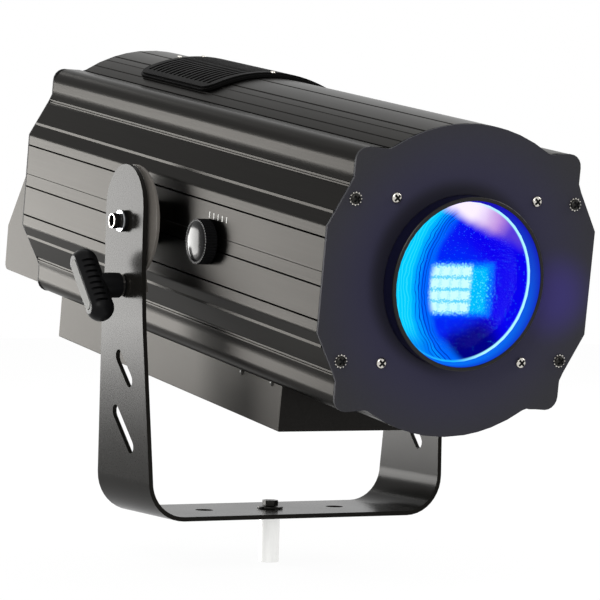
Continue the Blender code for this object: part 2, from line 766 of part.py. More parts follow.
def housing(head):
    """The extruded tube with its vent, belly and knob openings."""
    length = HOUSING_BACK - HOUSING_FRONT
    middle = (0.0, (HOUSING_BACK + HOUSING_FRONT) / 2, 0.0)
    inner = offset_path(housing_outline(), WALL, True)
    tube = prism("housing", [housing_outline(grooved=True), inner], length, "anodised", head, middle,
                 FACING_FRONT)
    vent_half = arc_surface(VENT_HALF_ANGLE)[0] - VENT_BORDER
    vent = ((-vent_half, VENT_FRONT + VENT_BORDER, arc_surface(VENT_HALF_ANGLE, -WALL * 2)[1]),
            (vent_half, VENT_FRONT + VENT_LENGTH - VENT_BORDER, ARC_TOP + VENT_BORDER))
    belly = ((-BELLY_HALF, BELLY_FRONT, DRIVER_BOX_FLOOR), (BELLY_HALF, BELLY_BACK, TRAY_BOTTOM - WALL))
    boolean(tube, block("housing_openings", [vent, belly], None, head), "DIFFERENCE")
    hole = rods("housing_knob_hole", SHAFT_RADIUS + RUNNING_GAP, WALL * 4, [(0.0, 0.0, 0.0)], None,
                head, (-HALF, KNOB_Y, 0.0), side_turn(-1))
    boolean(tube, hole, "DIFFERENCE")


def front_plate(head):
    """Flat plate with the tube's hole and the screw holes."""
    holes = [circle_points((0.0, 0.0), TUBE_RADIUS + GAP, 48)]
    holes += [circle_points(place, SCREW_RADIUS + GAP, 10) for place in screw_places()]
    prism("front_plate", [housing_outline(), *holes], PLATE_T, "black_paint", head,
          (0.0, PLATE_T / 2, 0.0), FACING_FRONT)


def screw_places():
    """Centres of the front plate's screws, the inner four and then the outer four."""
    signs = ((-1, 1), (1, 1), (-1, -1), (1, -1))
    inner = [(x * INNER_SCREW_X, z * INNER_SCREW_Z) for x, z in signs]
    outer = [(x * OUTER_SCREW_X, z * OUTER_SCREW_Z) for x, z in signs]
    return inner + outer


def front_screws(head):
    """Round-headed screws; the outer four carry a toothed washer under their heads."""
    corners = ("top_left", "top_right", "bottom_left", "bottom_right")
    names = [f"inner_screw_{corner}" for corner in corners]
    names += [f"outer_screw_{corner}" for corner in corners]
    for name, (x, z) in zip(names, screw_places()):
        seat = GAP
        profile = cap_profile(SCREW_HEAD_RADIUS, SCREW_HEAD_HEIGHT, seat, 3)
        if name.startswith("outer"):
            lift = LOCK_WASHER_T
            profile = [(radius, height + lift) for radius, height in profile]
            profile += [(LOCK_WASHER_RADIUS, seat + lift), (LOCK_WASHER_RADIUS, seat)]
        profile += [(SCREW_RADIUS, seat), (SCREW_RADIUS, -SCREW_LENGTH), (0.0, -SCREW_LENGTH)]
        turned(name, profile, 10, "bright_steel", head, (x, 0.0, z), FACING_FRONT)


def rear_plate(head):
    """Flat plate with a window for the wiring."""
    half = CABLE_WINDOW_W / 2
    low = CABLE_WINDOW_Z - CABLE_WINDOW_H / 2
    window = rectangle(-half, half, low, low + CABLE_WINDOW_H)
    prism("rear_plate", [housing_outline(), window], PLATE_T, "black_paint", head,
          (0.0, BACK_FACE + PLATE_T / 2, 0.0), FACING_FRONT)


def top_vent(head):
    """Curved cover on the crown with slots across it."""
    half_sweep = [VENT_HALF_ANGLE] + [angle for angle in crown_angles() if angle < VENT_HALF_ANGLE - 1.0]
    sweep = [-angle for angle in half_sweep] + half_sweep[-2::-1]
    under = [arc_surface(angle, GAP) for angle in sweep]
    over = [arc_surface(angle, GAP + VENT_T) for angle in reversed(sweep)]
    cover = prism("top_vent", [under + over], VENT_LENGTH, "black_plastic", head,
                  (0.0, VENT_FRONT + VENT_LENGTH / 2, 0.0), FACING_FRONT)
    half = arc_surface(VENT_HALF_ANGLE)[0] - VENT_BORDER
    first = VENT_FRONT + VENT_LENGTH / 2 - VENT_PITCH * (VENT_SLATS - 1) / 2
    slots = []
    for index in range(VENT_SLATS):
        middle = first + index * VENT_PITCH
        slots.append(((-half, middle - VENT_SLOT / 2, arc_surface(VENT_HALF_ANGLE)[1] - WALL),
                      (half, middle + VENT_SLOT / 2, ARC_TOP + VENT_T * 2)))
    boolean(cover, block("vent_slots", slots, None, head), "DIFFERENCE")


def driver_box(head):
    """Open-topped tray under the housing, cut to the housing's underside."""
    top = TRAY_BOTTOM
    outer = ((-DRIVER_BOX_HALF, DRIVER_BOX_FRONT, DRIVER_BOX_FLOOR), (DRIVER_BOX_HALF, DRIVER_BOX_BACK, top))
    inner = ((-DRIVER_BOX_HALF + SHELL_T, DRIVER_BOX_FRONT + SHELL_T, DRIVER_BOX_FLOOR + SHELL_T),
             (DRIVER_BOX_HALF - SHELL_T, DRIVER_BOX_BACK - SHELL_T, top + SHELL_T))
    box = block("driver_box", [outer], "anodised", head)
    boolean(box, block("driver_box_inside", [inner], None, head), "DIFFERENCE")
    envelope = prism("driver_box_envelope", [housing_outline(grow=GAP)], HEAD_LENGTH, None, head,
                     (0.0, HEAD_LENGTH / 2, 0.0), FACING_FRONT)
    boolean(box, envelope, "DIFFERENCE")


def control_box_outline(inset):
    """The control box seen from the side; the inset outline runs through its open front."""
    front = HEAD_LENGTH + GAP
    floor = BOX_FLOOR + inset
    back = BOX_BACK - inset
    slope = Vector((front - BOX_BACK, PANEL_HEAD_Z - PANEL_FOOT_Z)).normalized()
    normal = Vector((slope.y, -slope.x))
    foot = Vector((BOX_BACK, PANEL_FOOT_Z)) - normal * inset
    opening = front - inset
    panel_foot_z = foot.y + slope.y / slope.x * (back - foot.x)
    panel_head_z = foot.y + slope.y / slope.x * (opening - foot.x)
    radius = BOX_FOOT_RADIUS - inset
    corner = arc_points((back - radius, floor + radius), radius, -90.0, 0.0, 4)
    return [(opening, floor), *corner, (back, panel_foot_z), (opening, panel_head_z)]


def control_box(head, panel):
    """Wedge-shaped shell with the sloping panel, cut out for its fittings."""
    box = prism("control_box", [control_box_outline(0.0)], BOX_HALF * 2, "anodised", head,
                rotation=FACING_SIDE)
    inside = prism("control_box_inside", [control_box_outline(SHELL_T)], (BOX_HALF - SHELL_T) * 2, None,
                   head, rotation=FACING_SIDE)
    boolean(box, inside, "DIFFERENCE")
    window = ((-DISPLAY_W / 2 - GAP, DISPLAY_RISE - DISPLAY_H / 2 - GAP, -SHELL_T * 2),
              (DISPLAY_W / 2 + GAP, DISPLAY_RISE + DISPLAY_H / 2 + GAP, SHELL_T * 2))
    boolean(box, block("display_cutout", [window], None, panel), "DIFFERENCE")
    holes = rods("button_holes", BUTTON_RADIUS + GAP, SHELL_T * 4, button_places(), None, panel)
    boolean(box, holes, "DIFFERENCE")
    sockets = rods("socket_holes", SOCKET_RADIUS + GAP, SHELL_T * 4,
                   [(SIGNAL_IN_X, socket_height(), 0.0), (SIGNAL_OUT_X, socket_height(), 0.0)], None,
                   head, (0.0, BOX_BACK, 0.0), FACING_FRONT)
    boolean(box, sockets, "DIFFERENCE")
    half_w = INLET_RECESS_W / 2 + SHELL_T + GAP
    half_h = INLET_RECESS_H / 2 + SHELL_T + GAP
    inlet = ((INLET_X - half_w, BOX_BACK - SHELL_T * 2, socket_height() - half_h),
             (INLET_X + half_w, BOX_BACK + SHELL_T, socket_height() + half_h))
    boolean(box, block("inlet_cutout", [inlet], None, head), "DIFFERENCE")


def socket_height():
    """Height of the sockets' centres, half way up the upright rear face."""
    return (BOX_FLOOR + PANEL_FOOT_Z) / 2


def button_places():
    """Centres of the buttons on the panel, in the panel's own frame."""
    first = -BUTTON_PITCH * (BUTTONS - 1) / 2
    return [(first + index * BUTTON_PITCH, BUTTON_RISE, 0.0) for index in range(BUTTONS)]


def panel_frame(head):
    """An empty at the middle of the sloping panel's outer face: x to its reader's right, y up it."""
    front = HEAD_LENGTH + GAP
    up = Vector((0.0, front - BOX_BACK, PANEL_HEAD_Z - PANEL_FOOT_Z)).normalized()
    right = Vector((-1.0, 0.0, 0.0))
    out = right.cross(up)
    turn = Matrix((right, up, out)).transposed().to_euler()
    middle = (0.0, (front + BOX_BACK) / 2, (PANEL_HEAD_Z + PANEL_FOOT_Z) / 2)
    return empty("panel_frame", head, middle, turn)


def controls(panel):
    """Display, buttons and the board that carries both behind the panel."""
    board_top = -SHELL_T - CONTROL_BOARD_DROP
    board = block("control_board", [((-CONTROL_BOARD_W / 2, -CONTROL_BOARD_H / 2, board_top - BOARD_T),
                                     (CONTROL_BOARD_W / 2, CONTROL_BOARD_H / 2, board_top))],
                  "board", panel)
    post_x = CONTROL_BOARD_W / 2 - POST_RADIUS * 2
    post_y = CONTROL_BOARD_H / 2 - POST_RADIUS * 2
    post_length = CONTROL_BOARD_DROP - GAP + BOARD_T / 2
    post_middle = board_top - BOARD_T / 2 + post_length / 2
    posts = [(x * post_x, y * post_y, post_middle) for x in (-1, 1) for y in (-1, 1)]
    boolean(board, rods("board_posts", POST_RADIUS, post_length, posts, None, panel, segments=12), "UNION")
    flange_low = -SHELL_T - GAP - BUTTON_FLANGE
    switch_top = flange_low - BUTTON_TRAVEL - GAP
    switch_length = switch_top - board_top + BOARD_T / 2
    switches = [(x, y, switch_top - switch_length / 2) for x, y, _ in button_places()]
    boolean(board, rods("switches", SWITCH_RADIUS, switch_length, switches, None, panel,
                        segments=12), "UNION")
    block("display", [((-DISPLAY_W / 2, DISPLAY_RISE - DISPLAY_H / 2, board_top + GAP),
                       (DISPLAY_W / 2, DISPLAY_RISE + DISPLAY_H / 2, -GAP * 2))], "screen", panel)
    for index, place in enumerate(button_places()):
        flange_radius = BUTTON_RADIUS + BUTTON_FLANGE
        flange_top = flange_low + BUTTON_FLANGE
        turned(f"button_{index + 1}", [(0.0, BUTTON_PROUD), (BUTTON_RADIUS, BUTTON_PROUD),
                                       (BUTTON_RADIUS, flange_top), (flange_radius, flange_top),
                                       (flange_radius, flange_low), (0.0, flange_low)],
               16, "black_plastic", panel, place)


def sockets(head):
    """Two round signal sockets and the power inlet on the upright rear face."""
    face = BOX_BACK + GAP
    for name, x in (("signal_in", SIGNAL_IN_X), ("signal_out", SIGNAL_OUT_X)):
        half_w, half_h = SOCKET_FLANGE_W / 2, SOCKET_FLANGE_H / 2
        centre = (x, face + SOCKET_FLANGE_T / 2, socket_height())
        flange = prism(name, [rectangle(-half_w, half_w, -half_h, half_h)], SOCKET_FLANGE_T,
                       "black_plastic", head, centre, FACING_FRONT)
        body = rods(f"{name}_body", SOCKET_RADIUS, SOCKET_BODY, [(0.0, 0.0, 0.0)], None, head,
                    (x, face + SOCKET_FLANGE_T / 2 - SOCKET_BODY / 2, socket_height()), FACING_FRONT,
                    segments=24)
        boolean(flange, body, "UNION")
        recess = rods(f"{name}_recess", SOCKET_RADIUS - SHELL_T, SOCKET_BODY, [(0.0, 0.0, 0.0)], None,
                      head, (x, face + SHELL_T * 2, socket_height()), FACING_FRONT, segments=24)
        boolean(flange, recess, "DIFFERENCE")
    low = (INLET_X - INLET_W / 2, face, socket_height() - INLET_H / 2)
    high = (INLET_X + INLET_W / 2, face + SOCKET_FLANGE_T, socket_height() + INLET_H / 2)
    inlet = block("power_inlet", [(low, high)], "black_plastic", head)
    half_w, half_h = INLET_RECESS_W / 2, INLET_RECESS_H / 2
    body = ((INLET_X - half_w - SHELL_T, face - INLET_RECESS_DEPTH - SHELL_T,
             socket_height() - half_h - SHELL_T),
            (INLET_X + half_w + SHELL_T, face + SOCKET_FLANGE_T / 2, socket_height() + half_h + SHELL_T))
    boolean(inlet, block("inlet_body", [body], None, head), "UNION")
    recess = ((INLET_X - half_w, face - INLET_RECESS_DEPTH, socket_height() - half_h),
              (INLET_X + half_w, face + SOCKET_FLANGE_T * 2, socket_height() + half_h))
    boolean(inlet, block("inlet_recess", [recess], None, head), "DIFFERENCE")


# Head: lens, focus drive, colour wheel, lamp and cooling

def lens_tube(head):
    """Tube through the front plate with the lens's ledge, and a square flange behind the plate."""
    ledge = LENS_EDGE_FRONT + LENS_EDGE_T + GAP
    bore = TUBE_RADIUS - TUBE_WALL
    tube = turned("lens_tube", [(TUBE_RADIUS, TUBE_PROUD), (TUBE_RADIUS, -TUBE_BACK),
                                (bore - LEDGE_WIDTH, -TUBE_BACK), (bore - LEDGE_WIDTH, -ledge),
                                (bore, -ledge), (bore, TUBE_PROUD)], 48, "black_paint", head,
                  rotation=FACING_FRONT, ring=True)
    square = rectangle(-FLANGE_HALF, FLANGE_HALF, -FLANGE_HALF, FLANGE_HALF)
    holes = [circle_points(place, SCREW_RADIUS + GAP, 10) for place in screw_places()[:4]]
    bore_hole = circle_points((0.0, 0.0), TUBE_RADIUS - TUBE_WALL / 2, 48)
    flange = prism("lens_flange", [square, bore_hole, *holes], FLANGE_T, None, head,
                   (0.0, HOUSING_FRONT + FLANGE_T / 2, 0.0), FACING_FRONT)
    boolean(tube, flange, "UNION")


def front_lens(head):
    """Large lens, round in front and flat behind, and the clip ring that holds its edge."""
    back = -(LENS_EDGE_FRONT + LENS_EDGE_T)
    turned("front_lens", cap_profile(LENS_RADIUS, LENS_SAG, -LENS_EDGE_FRONT, 6)
           + [(LENS_RADIUS, back), (0.0, back)], 40, "glass", head, rotation=FACING_FRONT)
    low = -LENS_EDGE_FRONT + CLIP_LIFT
    turned("lens_clip_ring", ring_profile(LENS_RADIUS - CLIP_WIDTH, LENS_RADIUS, low, low + CLIP_T), 40,
           "black_steel", head, rotation=FACING_FRONT, ring=True)


def focus_drive(head):
    """Knob, shaft with its pinion, and the lens carriage with its rack on two rods."""
    outer_face = HALF + GAP * 2
    turn = side_turn(-1)
    seat = (0.0, KNOB_Y, 0.0)
    bore = SHAFT_RADIUS + GAP
    rim = outer_face + KNOB_HEIGHT
    bore_floor = outer_face + KNOB_BORE_DEPTH
    dome = cap_profile(KNOB_RADIUS, KNOB_DOME, rim, 4)
    knob = turned("focus_knob", dome + [(KNOB_RADIUS, outer_face), (bore, outer_face),
                                        (bore, bore_floor), (0.0, bore_floor)], 20, "black_plastic",
                  head, seat, turn)
    flute = pi * KNOB_RADIUS / KNOB_FLUTES / 3
    places = []
    for index in range(KNOB_FLUTES):
        angle = 2 * pi * index / KNOB_FLUTES
        reach = KNOB_RADIUS + flute / 3
        places.append((reach * cos(angle), reach * sin(angle), 0.0))
    flutes = rods("knob_flutes", flute, KNOB_HEIGHT * 2, places, None, head,
                  (-(outer_face + KNOB_HEIGHT + SHELL_T), KNOB_Y, 0.0), turn, segments=8)
    boolean(knob, flutes, "DIFFERENCE")
    rack_outer = FRAME_HALF + RUNNING_GAP * 2 + RACK_WIDTH
    pinion_inner = rack_outer - RACK_WIDTH
    shaft_end = bore_floor - GAP
    turned("focus_shaft", [(0.0, shaft_end), (SHAFT_RADIUS, shaft_end), (SHAFT_RADIUS, rack_outer),
                           (PINION_RADIUS, rack_outer), (PINION_RADIUS, pinion_inner),
                           (0.0, pinion_inner)], 20, "bright_steel", head, seat, turn)
    carriage = prism("focus_carriage",
                     [rectangle(-FRAME_HALF, FRAME_HALF, TRAY_TOP + CARRIAGE_CLEARANCE, CARRIAGE_TOP),
                      circle_points((0.0, 0.0), FOCUS_LENS_RADIUS + GAP, 32),
                      circle_points((-ROD_X, ROD_Z), ROD_RADIUS + GAP, 12),
                      circle_points((ROD_X, ROD_Z), ROD_RADIUS + GAP, 12)], CARRIAGE_T, "aluminium",
                     head, (0.0, CARRIAGE_Y, 0.0), FACING_FRONT)
    rack_low = PINION_RADIUS + RUNNING_GAP
    rack = ((-rack_outer, CARRIAGE_Y - RACK_LENGTH / 2, rack_low),
            (-pinion_inner, CARRIAGE_Y + RACK_LENGTH / 2, rack_low + RACK_T))
    arm = ((-pinion_inner - SHELL_T, CARRIAGE_Y - CARRIAGE_T / 2, rack_low),
           (-FRAME_HALF + SHELL_T, CARRIAGE_Y + CARRIAGE_T / 2, rack_low + RACK_T))
    boolean(carriage, block("rack_arm", [arm], None, head), "UNION")
    boolean(carriage, block("rack", [rack], None, head), "UNION")
    turned("focus_lens", cap_profile(FOCUS_LENS_RADIUS, FOCUS_LENS_SAG, FOCUS_LENS_EDGE / 2, 4)
           + [(radius, -height) for radius, height in
              reversed(cap_profile(FOCUS_LENS_RADIUS, FOCUS_LENS_SAG, FOCUS_LENS_EDGE / 2, 4))],
           28, "glass", head, (0.0, CARRIAGE_Y, 0.0), FACING_FRONT)
    rod_length = WHEEL_BULKHEAD_Y - FRONT_BULKHEAD_Y + SHEET_T * 3
    for label, side in SIDES:
        rods(f"guide_rod_{label}", ROD_RADIUS, rod_length, [(0.0, 0.0, 0.0)], "bright_steel", head,
             (side * ROD_X, FRONT_BULKHEAD_Y - SHEET_T + rod_length / 2, ROD_Z), FACING_FRONT,
             segments=12)


def optical_frame(head):
    """Sheet tray across the housing with three bulkheads, and the condenser's ring on the last."""
    half = facet_inner_x(TRAY_BOTTOM, GAP)
    tray = ((-half, TRAY_FRONT, TRAY_BOTTOM), (half, TRAY_BACK, TRAY_TOP))
    frame = block("optical_frame", [tray], "zinc", head)
    rod_holes = [circle_points((side * ROD_X, ROD_Z), ROD_RADIUS + GAP, 12) for _, side in SIDES]
    motor_hole = circle_points((0.0, -FILTER_CIRCLE), MOTOR_SHAFT + RUNNING_GAP * 2, 12)
    upright = rectangle(-FRAME_HALF, FRAME_HALF, TRAY_TOP - TRAY_T / 2, FRAME_TOP)
    walls = (
        ("front", FRONT_BULKHEAD_Y, SHEET_T, [circle_points((0.0, 0.0), FRONT_APERTURE, 32), *rod_holes]),
        ("wheel", WHEEL_BULKHEAD_Y, SHEET_T,
         [circle_points((0.0, 0.0), WHEEL_APERTURE, 24), motor_hole, *rod_holes]),
        ("lamp", LAMP_BULKHEAD_Y, LAMP_BULKHEAD_T,
         [circle_points((0.0, 0.0), CONDENSER_RADIUS + RUNNING_GAP, 32)]),
    )
    for label, place, thickness, holes in walls:
        wall = prism(f"{label}_bulkhead", [upright, *holes], thickness, None, head,
                     (0.0, place + thickness / 2, 0.0), FACING_FRONT)
        boolean(frame, wall, "UNION")
    ring_outer = CONDENSER_RADIUS + CONDENSER_RING_T
    ring = prism("condenser_ring", [circle_points((0.0, 0.0), ring_outer, 32),
                                    circle_points((0.0, 0.0), CONDENSER_RADIUS + RUNNING_GAP, 32)],
                 CONDENSER_RING_LENGTH, None, head,
                 (0.0, LAMP_BULKHEAD_Y + LAMP_BULKHEAD_T / 2 - CONDENSER_RING_LENGTH / 2, 0.0),
                 FACING_FRONT)
    boolean(frame, ring, "UNION")
    chord = sqrt(WHEEL_RADIUS ** 2 - (FILTER_CIRCLE + TRAY_BOTTOM) ** 2) + SHEET_T
    slot = ((-chord, WHEEL_Y - SHEET_T, TRAY_BOTTOM - TRAY_T),
            (chord, WHEEL_Y + WHEEL_T + FILTER_T + SHEET_T, TRAY_TOP + TRAY_T))
    boolean(frame, block("wheel_slot", [slot], None, head), "DIFFERENCE")


def colour_wheel(head):
    """Motor on the bulkhead, wheel on its shaft and the ring of filters behind the wheel."""
    centre = (0.0, 0.0, -FILTER_CIRCLE)
    face = -(WHEEL_BULKHEAD_Y - GAP)
    shaft_tip = -(WHEEL_Y - SHEET_T + HUB_LENGTH)
    turned("wheel_motor", [(0.0, face + MOTOR_LENGTH), (MOTOR_RADIUS, face + MOTOR_LENGTH),
                           (MOTOR_RADIUS, face), (MOTOR_SHAFT, face), (MOTOR_SHAFT, shaft_tip),
                           (0.0, shaft_tip)], 20, "black_steel", head, centre, FACING_FRONT)
    bore = MOTOR_SHAFT + GAP
    front = -WHEEL_Y
    back = front - WHEEL_T
    hub_front = front + SHEET_T
    hub_back = hub_front - HUB_LENGTH + GAP * 4
    wheel = turned("colour_wheel", [(HUB_RADIUS, hub_front), (HUB_RADIUS, front), (WHEEL_RADIUS, front),
                                    (WHEEL_RADIUS, back), (HUB_RADIUS, back), (HUB_RADIUS, hub_back),
                                    (bore, hub_back), (bore, hub_front)], 28, "aluminium", head, centre,
                   FACING_FRONT, ring=True)
    places = []
    for index in range(FILTERS):
        angle = pi / 2 + 2 * pi * index / FILTERS
        places.append((FILTER_CIRCLE * cos(angle), FILTER_CIRCLE * sin(angle), 0.0))
    windows = rods("wheel_windows", FILTER_RADIUS, WHEEL_T * 2, places, None, head,
                   (0.0, WHEEL_Y + WHEEL_T / 2, -FILTER_CIRCLE), FACING_FRONT, segments=12)
    boolean(wheel, windows, "DIFFERENCE")
    filter_front = back - GAP
    filters = turned("filter_ring", ring_profile(FILTER_CIRCLE - FILTER_RIM, FILTER_CIRCLE + FILTER_RIM,
                                                 filter_front - FILTER_T, filter_front), 28, "filters",
                     head, centre, FACING_FRONT, ring=True)
    open_window = rods("open_window", FILTER_RADIUS, FILTER_T * 4, [places[1]], None, head,
                       (0.0, WHEEL_Y + WHEEL_T + FILTER_T / 2, -FILTER_CIRCLE), FACING_FRONT,
                       segments=12)
    boolean(filters, open_window, "DIFFERENCE")


def lamp(head):
    """Condenser, board of emitters and the finned heat sink behind them."""
    edge_back = -(LAMP_BULKHEAD_Y - EMITTER_T * 2)
    edge_front = edge_back + CONDENSER_EDGE
    turned("condenser_lens", cap_profile(CONDENSER_RADIUS, CONDENSER_SAG, edge_front, 5)
           + [(CONDENSER_RADIUS, edge_back), (0.0, edge_back)], 28, "glass", head,
           rotation=FACING_FRONT)
    board_back = LAMP_BACK
    board_front = board_back - BOARD_T
    board = rods("lamp_board", CONDENSER_RADIUS, BOARD_T, [(0.0, 0.0, 0.0)], "lamp", head,
                 (0.0, board_front + BOARD_T / 2, 0.0), FACING_FRONT, segments=28)
    first = -EMITTER_PITCH * (EMITTERS - 1) / 2
    half = EMITTER_SIZE / 2
    tips = []
    for column in range(EMITTERS):
        for row in range(EMITTERS):
            x, z = first + column * EMITTER_PITCH, first + row * EMITTER_PITCH
            tips.append(((x - half, board_front - EMITTER_T, z - half),
                         (x + half, board_front + BOARD_T / 2, z + half)))
    boolean(board, block("emitters", tips, None, head), "UNION")
    sink = block("heat_sink", [((-SINK_HALF, SINK_FRONT, -SINK_HALF),
                                (SINK_HALF, SINK_FRONT + SINK_DEPTH, SINK_HALF))], "aluminium", head)
    pitch = (SINK_HALF * 2 - FIN_T) / (SINK_FINS - 1)
    channels = []
    for index in range(SINK_FINS - 1):
        left = -SINK_HALF + FIN_T + index * pitch
        channels.append(((left, SINK_FRONT + SINK_BASE, -SINK_HALF - FIN_T),
                         (left + pitch - FIN_T, SINK_FRONT + SINK_DEPTH + FIN_T, SINK_HALF + FIN_T)))
    boolean(sink, block("sink_channels", channels, None, head), "DIFFERENCE")


def fan(head):
    """Square fan frame on the heat sink and its rotor in front of the frame's spider."""
    back = FAN_FRONT + FAN_DEPTH
    frame = prism("fan_frame", [rectangle(-FAN_HALF, FAN_HALF, -FAN_HALF, FAN_HALF),
                                circle_points((0.0, 0.0), FAN_BORE, 32)], FAN_DEPTH, "black_plastic",
                  head, (0.0, FAN_FRONT + FAN_DEPTH / 2, 0.0), FACING_FRONT)
    reach = FAN_BORE + SPOKE_W / 2
    half = SPOKE_W / 2
    spokes = [((-reach, back - SPOKE_W, -half), (reach, back, half))]
    boolean(frame, block("fan_spoke_across", spokes, None, head), "UNION")
    upright = [((-half, back - SPOKE_W, -reach), (half, back, reach))]
    boolean(frame, block("fan_spoke_upright", upright, None, head), "UNION")
    centre = rods("fan_centre", FAN_HUB, SPOKE_W, [(0.0, 0.0, 0.0)], None, head,
                  (0.0, back - SPOKE_W / 2, 0.0), FACING_FRONT, segments=24)
    boolean(frame, centre, "UNION")
    rotor_back = back - SPOKE_W - RUNNING_GAP
    middle = (0.0, rotor_back - ROTOR_DEPTH / 2, 0.0)
    rotor = rods("fan_rotor", FAN_HUB, ROTOR_DEPTH, [(0.0, 0.0, 0.0)], "black_plastic", head, middle,
                 FACING_FRONT, segments=24)
    inner, outer = BLADE_ROOT, FAN_BORE - BLADE_CLEARANCE
    blades = []
    for index in range(FAN_BLADES):
        spin = Matrix.Rotation(2 * pi * index / FAN_BLADES, 4, "Z")
        pitch = Matrix.Rotation(radians(BLADE_PITCH), 4, "X")
        shift = Matrix.Translation(((inner + outer) / 2, 0.0, 0.0))
        blades.append(((outer - inner, BLADE_CHORD, BLADE_T), spin @ shift @ pitch))
    boolean(rotor, block("fan_blades", blades, None, head, middle, FACING_FRONT), "UNION")


def power_supply(head):
    """Power supply on the driver box's floor."""
    low = DRIVER_BOX_FLOOR + SHELL_T + GAP
    block("power_supply", [((-SUPPLY_HALF, SUPPLY_FRONT, low),
                            (SUPPLY_HALF, SUPPLY_BACK, low + SUPPLY_HEIGHT))], "zinc", head)


def build():
    """Every sub-part, from the stand up."""
    stand_fittings()
    yoke()
    tilt_axis = empty("tilt_axis", None, (0.0, 0.0, PIVOT_Z), (radians(REST_TILT), 0.0, 0.0))
    tilt_joint(tilt_axis)
    head = empty("head_frame", tilt_axis, (0.0, -PIVOT_Y, 0.0))
    housing(head)
    front_plate(head)
    front_screws(head)
    rear_plate(head)
    top_vent(head)
    driver_box(head)
    panel = panel_frame(head)
    control_box(head, panel)
    controls(panel)
    sockets(head)
    lens_tube(head)
    front_lens(head)
    focus_drive(head)
    optical_frame(head)
    colour_wheel(head)
    lamp(head)
    fan(head)
    power_supply(head)


build()
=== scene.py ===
"""Followspot in a floor yoke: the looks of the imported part.

Metres, +Z up, the beam leaves towards -Y. The head's pieces are made in the head's own frame, whose origin
is the centre of the front plate's face with +Y running back along the beam, and are then tilted into place.
"""

import json
from math import asin, atan2, cos, degrees, pi, radians, sin

import bmesh
import bpy
from bpy.props import FloatProperty, FloatVectorProperty, IntProperty, PointerProperty
from bpy.types import NodeSocket, Operator, Panel, PropertyGroup
from mathutils import Matrix, Vector


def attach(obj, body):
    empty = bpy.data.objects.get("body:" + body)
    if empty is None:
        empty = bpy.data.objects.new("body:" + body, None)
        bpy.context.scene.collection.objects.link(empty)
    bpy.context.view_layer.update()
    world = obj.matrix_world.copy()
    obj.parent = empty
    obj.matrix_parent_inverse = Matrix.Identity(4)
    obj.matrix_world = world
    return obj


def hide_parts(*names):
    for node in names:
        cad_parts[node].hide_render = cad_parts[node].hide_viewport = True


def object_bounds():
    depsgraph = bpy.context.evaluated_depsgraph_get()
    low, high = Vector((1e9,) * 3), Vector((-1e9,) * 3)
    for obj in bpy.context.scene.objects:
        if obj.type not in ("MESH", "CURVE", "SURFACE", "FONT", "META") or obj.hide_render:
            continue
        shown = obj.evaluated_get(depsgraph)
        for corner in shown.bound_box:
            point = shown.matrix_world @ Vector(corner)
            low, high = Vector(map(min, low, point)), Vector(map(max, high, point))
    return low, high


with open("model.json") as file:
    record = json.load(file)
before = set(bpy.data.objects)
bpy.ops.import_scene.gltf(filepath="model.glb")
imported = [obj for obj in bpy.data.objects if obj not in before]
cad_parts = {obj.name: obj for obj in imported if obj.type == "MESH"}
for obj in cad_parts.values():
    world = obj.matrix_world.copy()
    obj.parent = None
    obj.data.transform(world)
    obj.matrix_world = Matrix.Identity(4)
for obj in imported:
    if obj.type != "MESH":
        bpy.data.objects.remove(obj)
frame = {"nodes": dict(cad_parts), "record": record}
CAD_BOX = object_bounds()
NODES = frame["nodes"]
BODIES = frame["record"]["behaviour"]["bodies"]
BODY_OF = {node: body for body, members in BODIES.items() for node in members}

bl_info = {
    "name": "Followspot",
    "version": (1, 0, 0),
    "blender": (4, 5, 0),
    "location": "View3D > Sidebar > Followspot",
    "description": "Dresses the followspot's frame with its finished pieces, one operator for each group",
    "category": "Object",
}

# The head's frame, tipped down at the front about the yoke's pivots
TILT = radians(7.3)
PIVOT = Vector((0.0, 0.0, 0.3103))
PIVOT_Y = 0.3210
HEAD = Matrix.Translation(PIVOT) @ Matrix.Rotation(TILT, 4, "X") @ Matrix.Translation((0.0, -PIVOT_Y, 0.0))
FACING_FRONT = Matrix.Rotation(pi / 2, 4, "X")
SIDES = (("left", -1), ("right", 1))

# Finishes: one millimetre, how wide the soft patches of gloss are, and plain white
MM = 0.001
GLOSS_PATCH = 0.06
WHITE = (1.0, 1.0, 1.0, 1.0)

# Housing
HALF = 0.1300
SIDE_FLAT = 0.0885
NECK = Vector((0.1120, 0.0773))
LOBE_X = 0.1090
LOBE_FOOT = 0.0070
LOBE_TOP = 0.1095
LOBE_RADIUS = 0.0140
VALLEY_X = 0.0790
VALLEY_DEPTH = 0.0013
CROWN_RADIUS = 0.1381
CROWN_TOP = 0.1316
WALL = 0.0028
HOUSING_FRONT = 0.0028
HOUSING_BACK = 0.5985

# Lens and front plate
TUBE_RADIUS = 0.0725
TUBE_WALL = 0.0027
TUBE_PROUD = 0.0160
LENS_EDGE = -0.0015
LENS_SAG = 0.0150
INNER_SCREWS = (0.0681, 0.0686)
OUTER_SCREWS = (0.1066, 0.0670)

# Vent
VENT_FRONT = 0.3535
VENT_LENGTH = 0.1480
VENT_HALF_ANGLE = 28.8
VENT_T = 0.0048
VENT_BORDER = 0.0060
VENT_PITCH = 0.0087
VENT_SLOT = 0.0044

# The housing's opening to the driver box, that box's half width, and the sloping panel behind
BELLY_LOW = (-0.06, 0.20, -0.15)
BELLY_HIGH = (0.06, 0.52, -0.0775)
DRIVER_BOX_HALF = 0.0950
PANEL_CENTRE = (0.0, 0.6427, 0.009)
PANEL_UP = (0.0, -0.5286, 0.8489)
PANEL_OUT = (0.0, 0.8489, 0.5286)

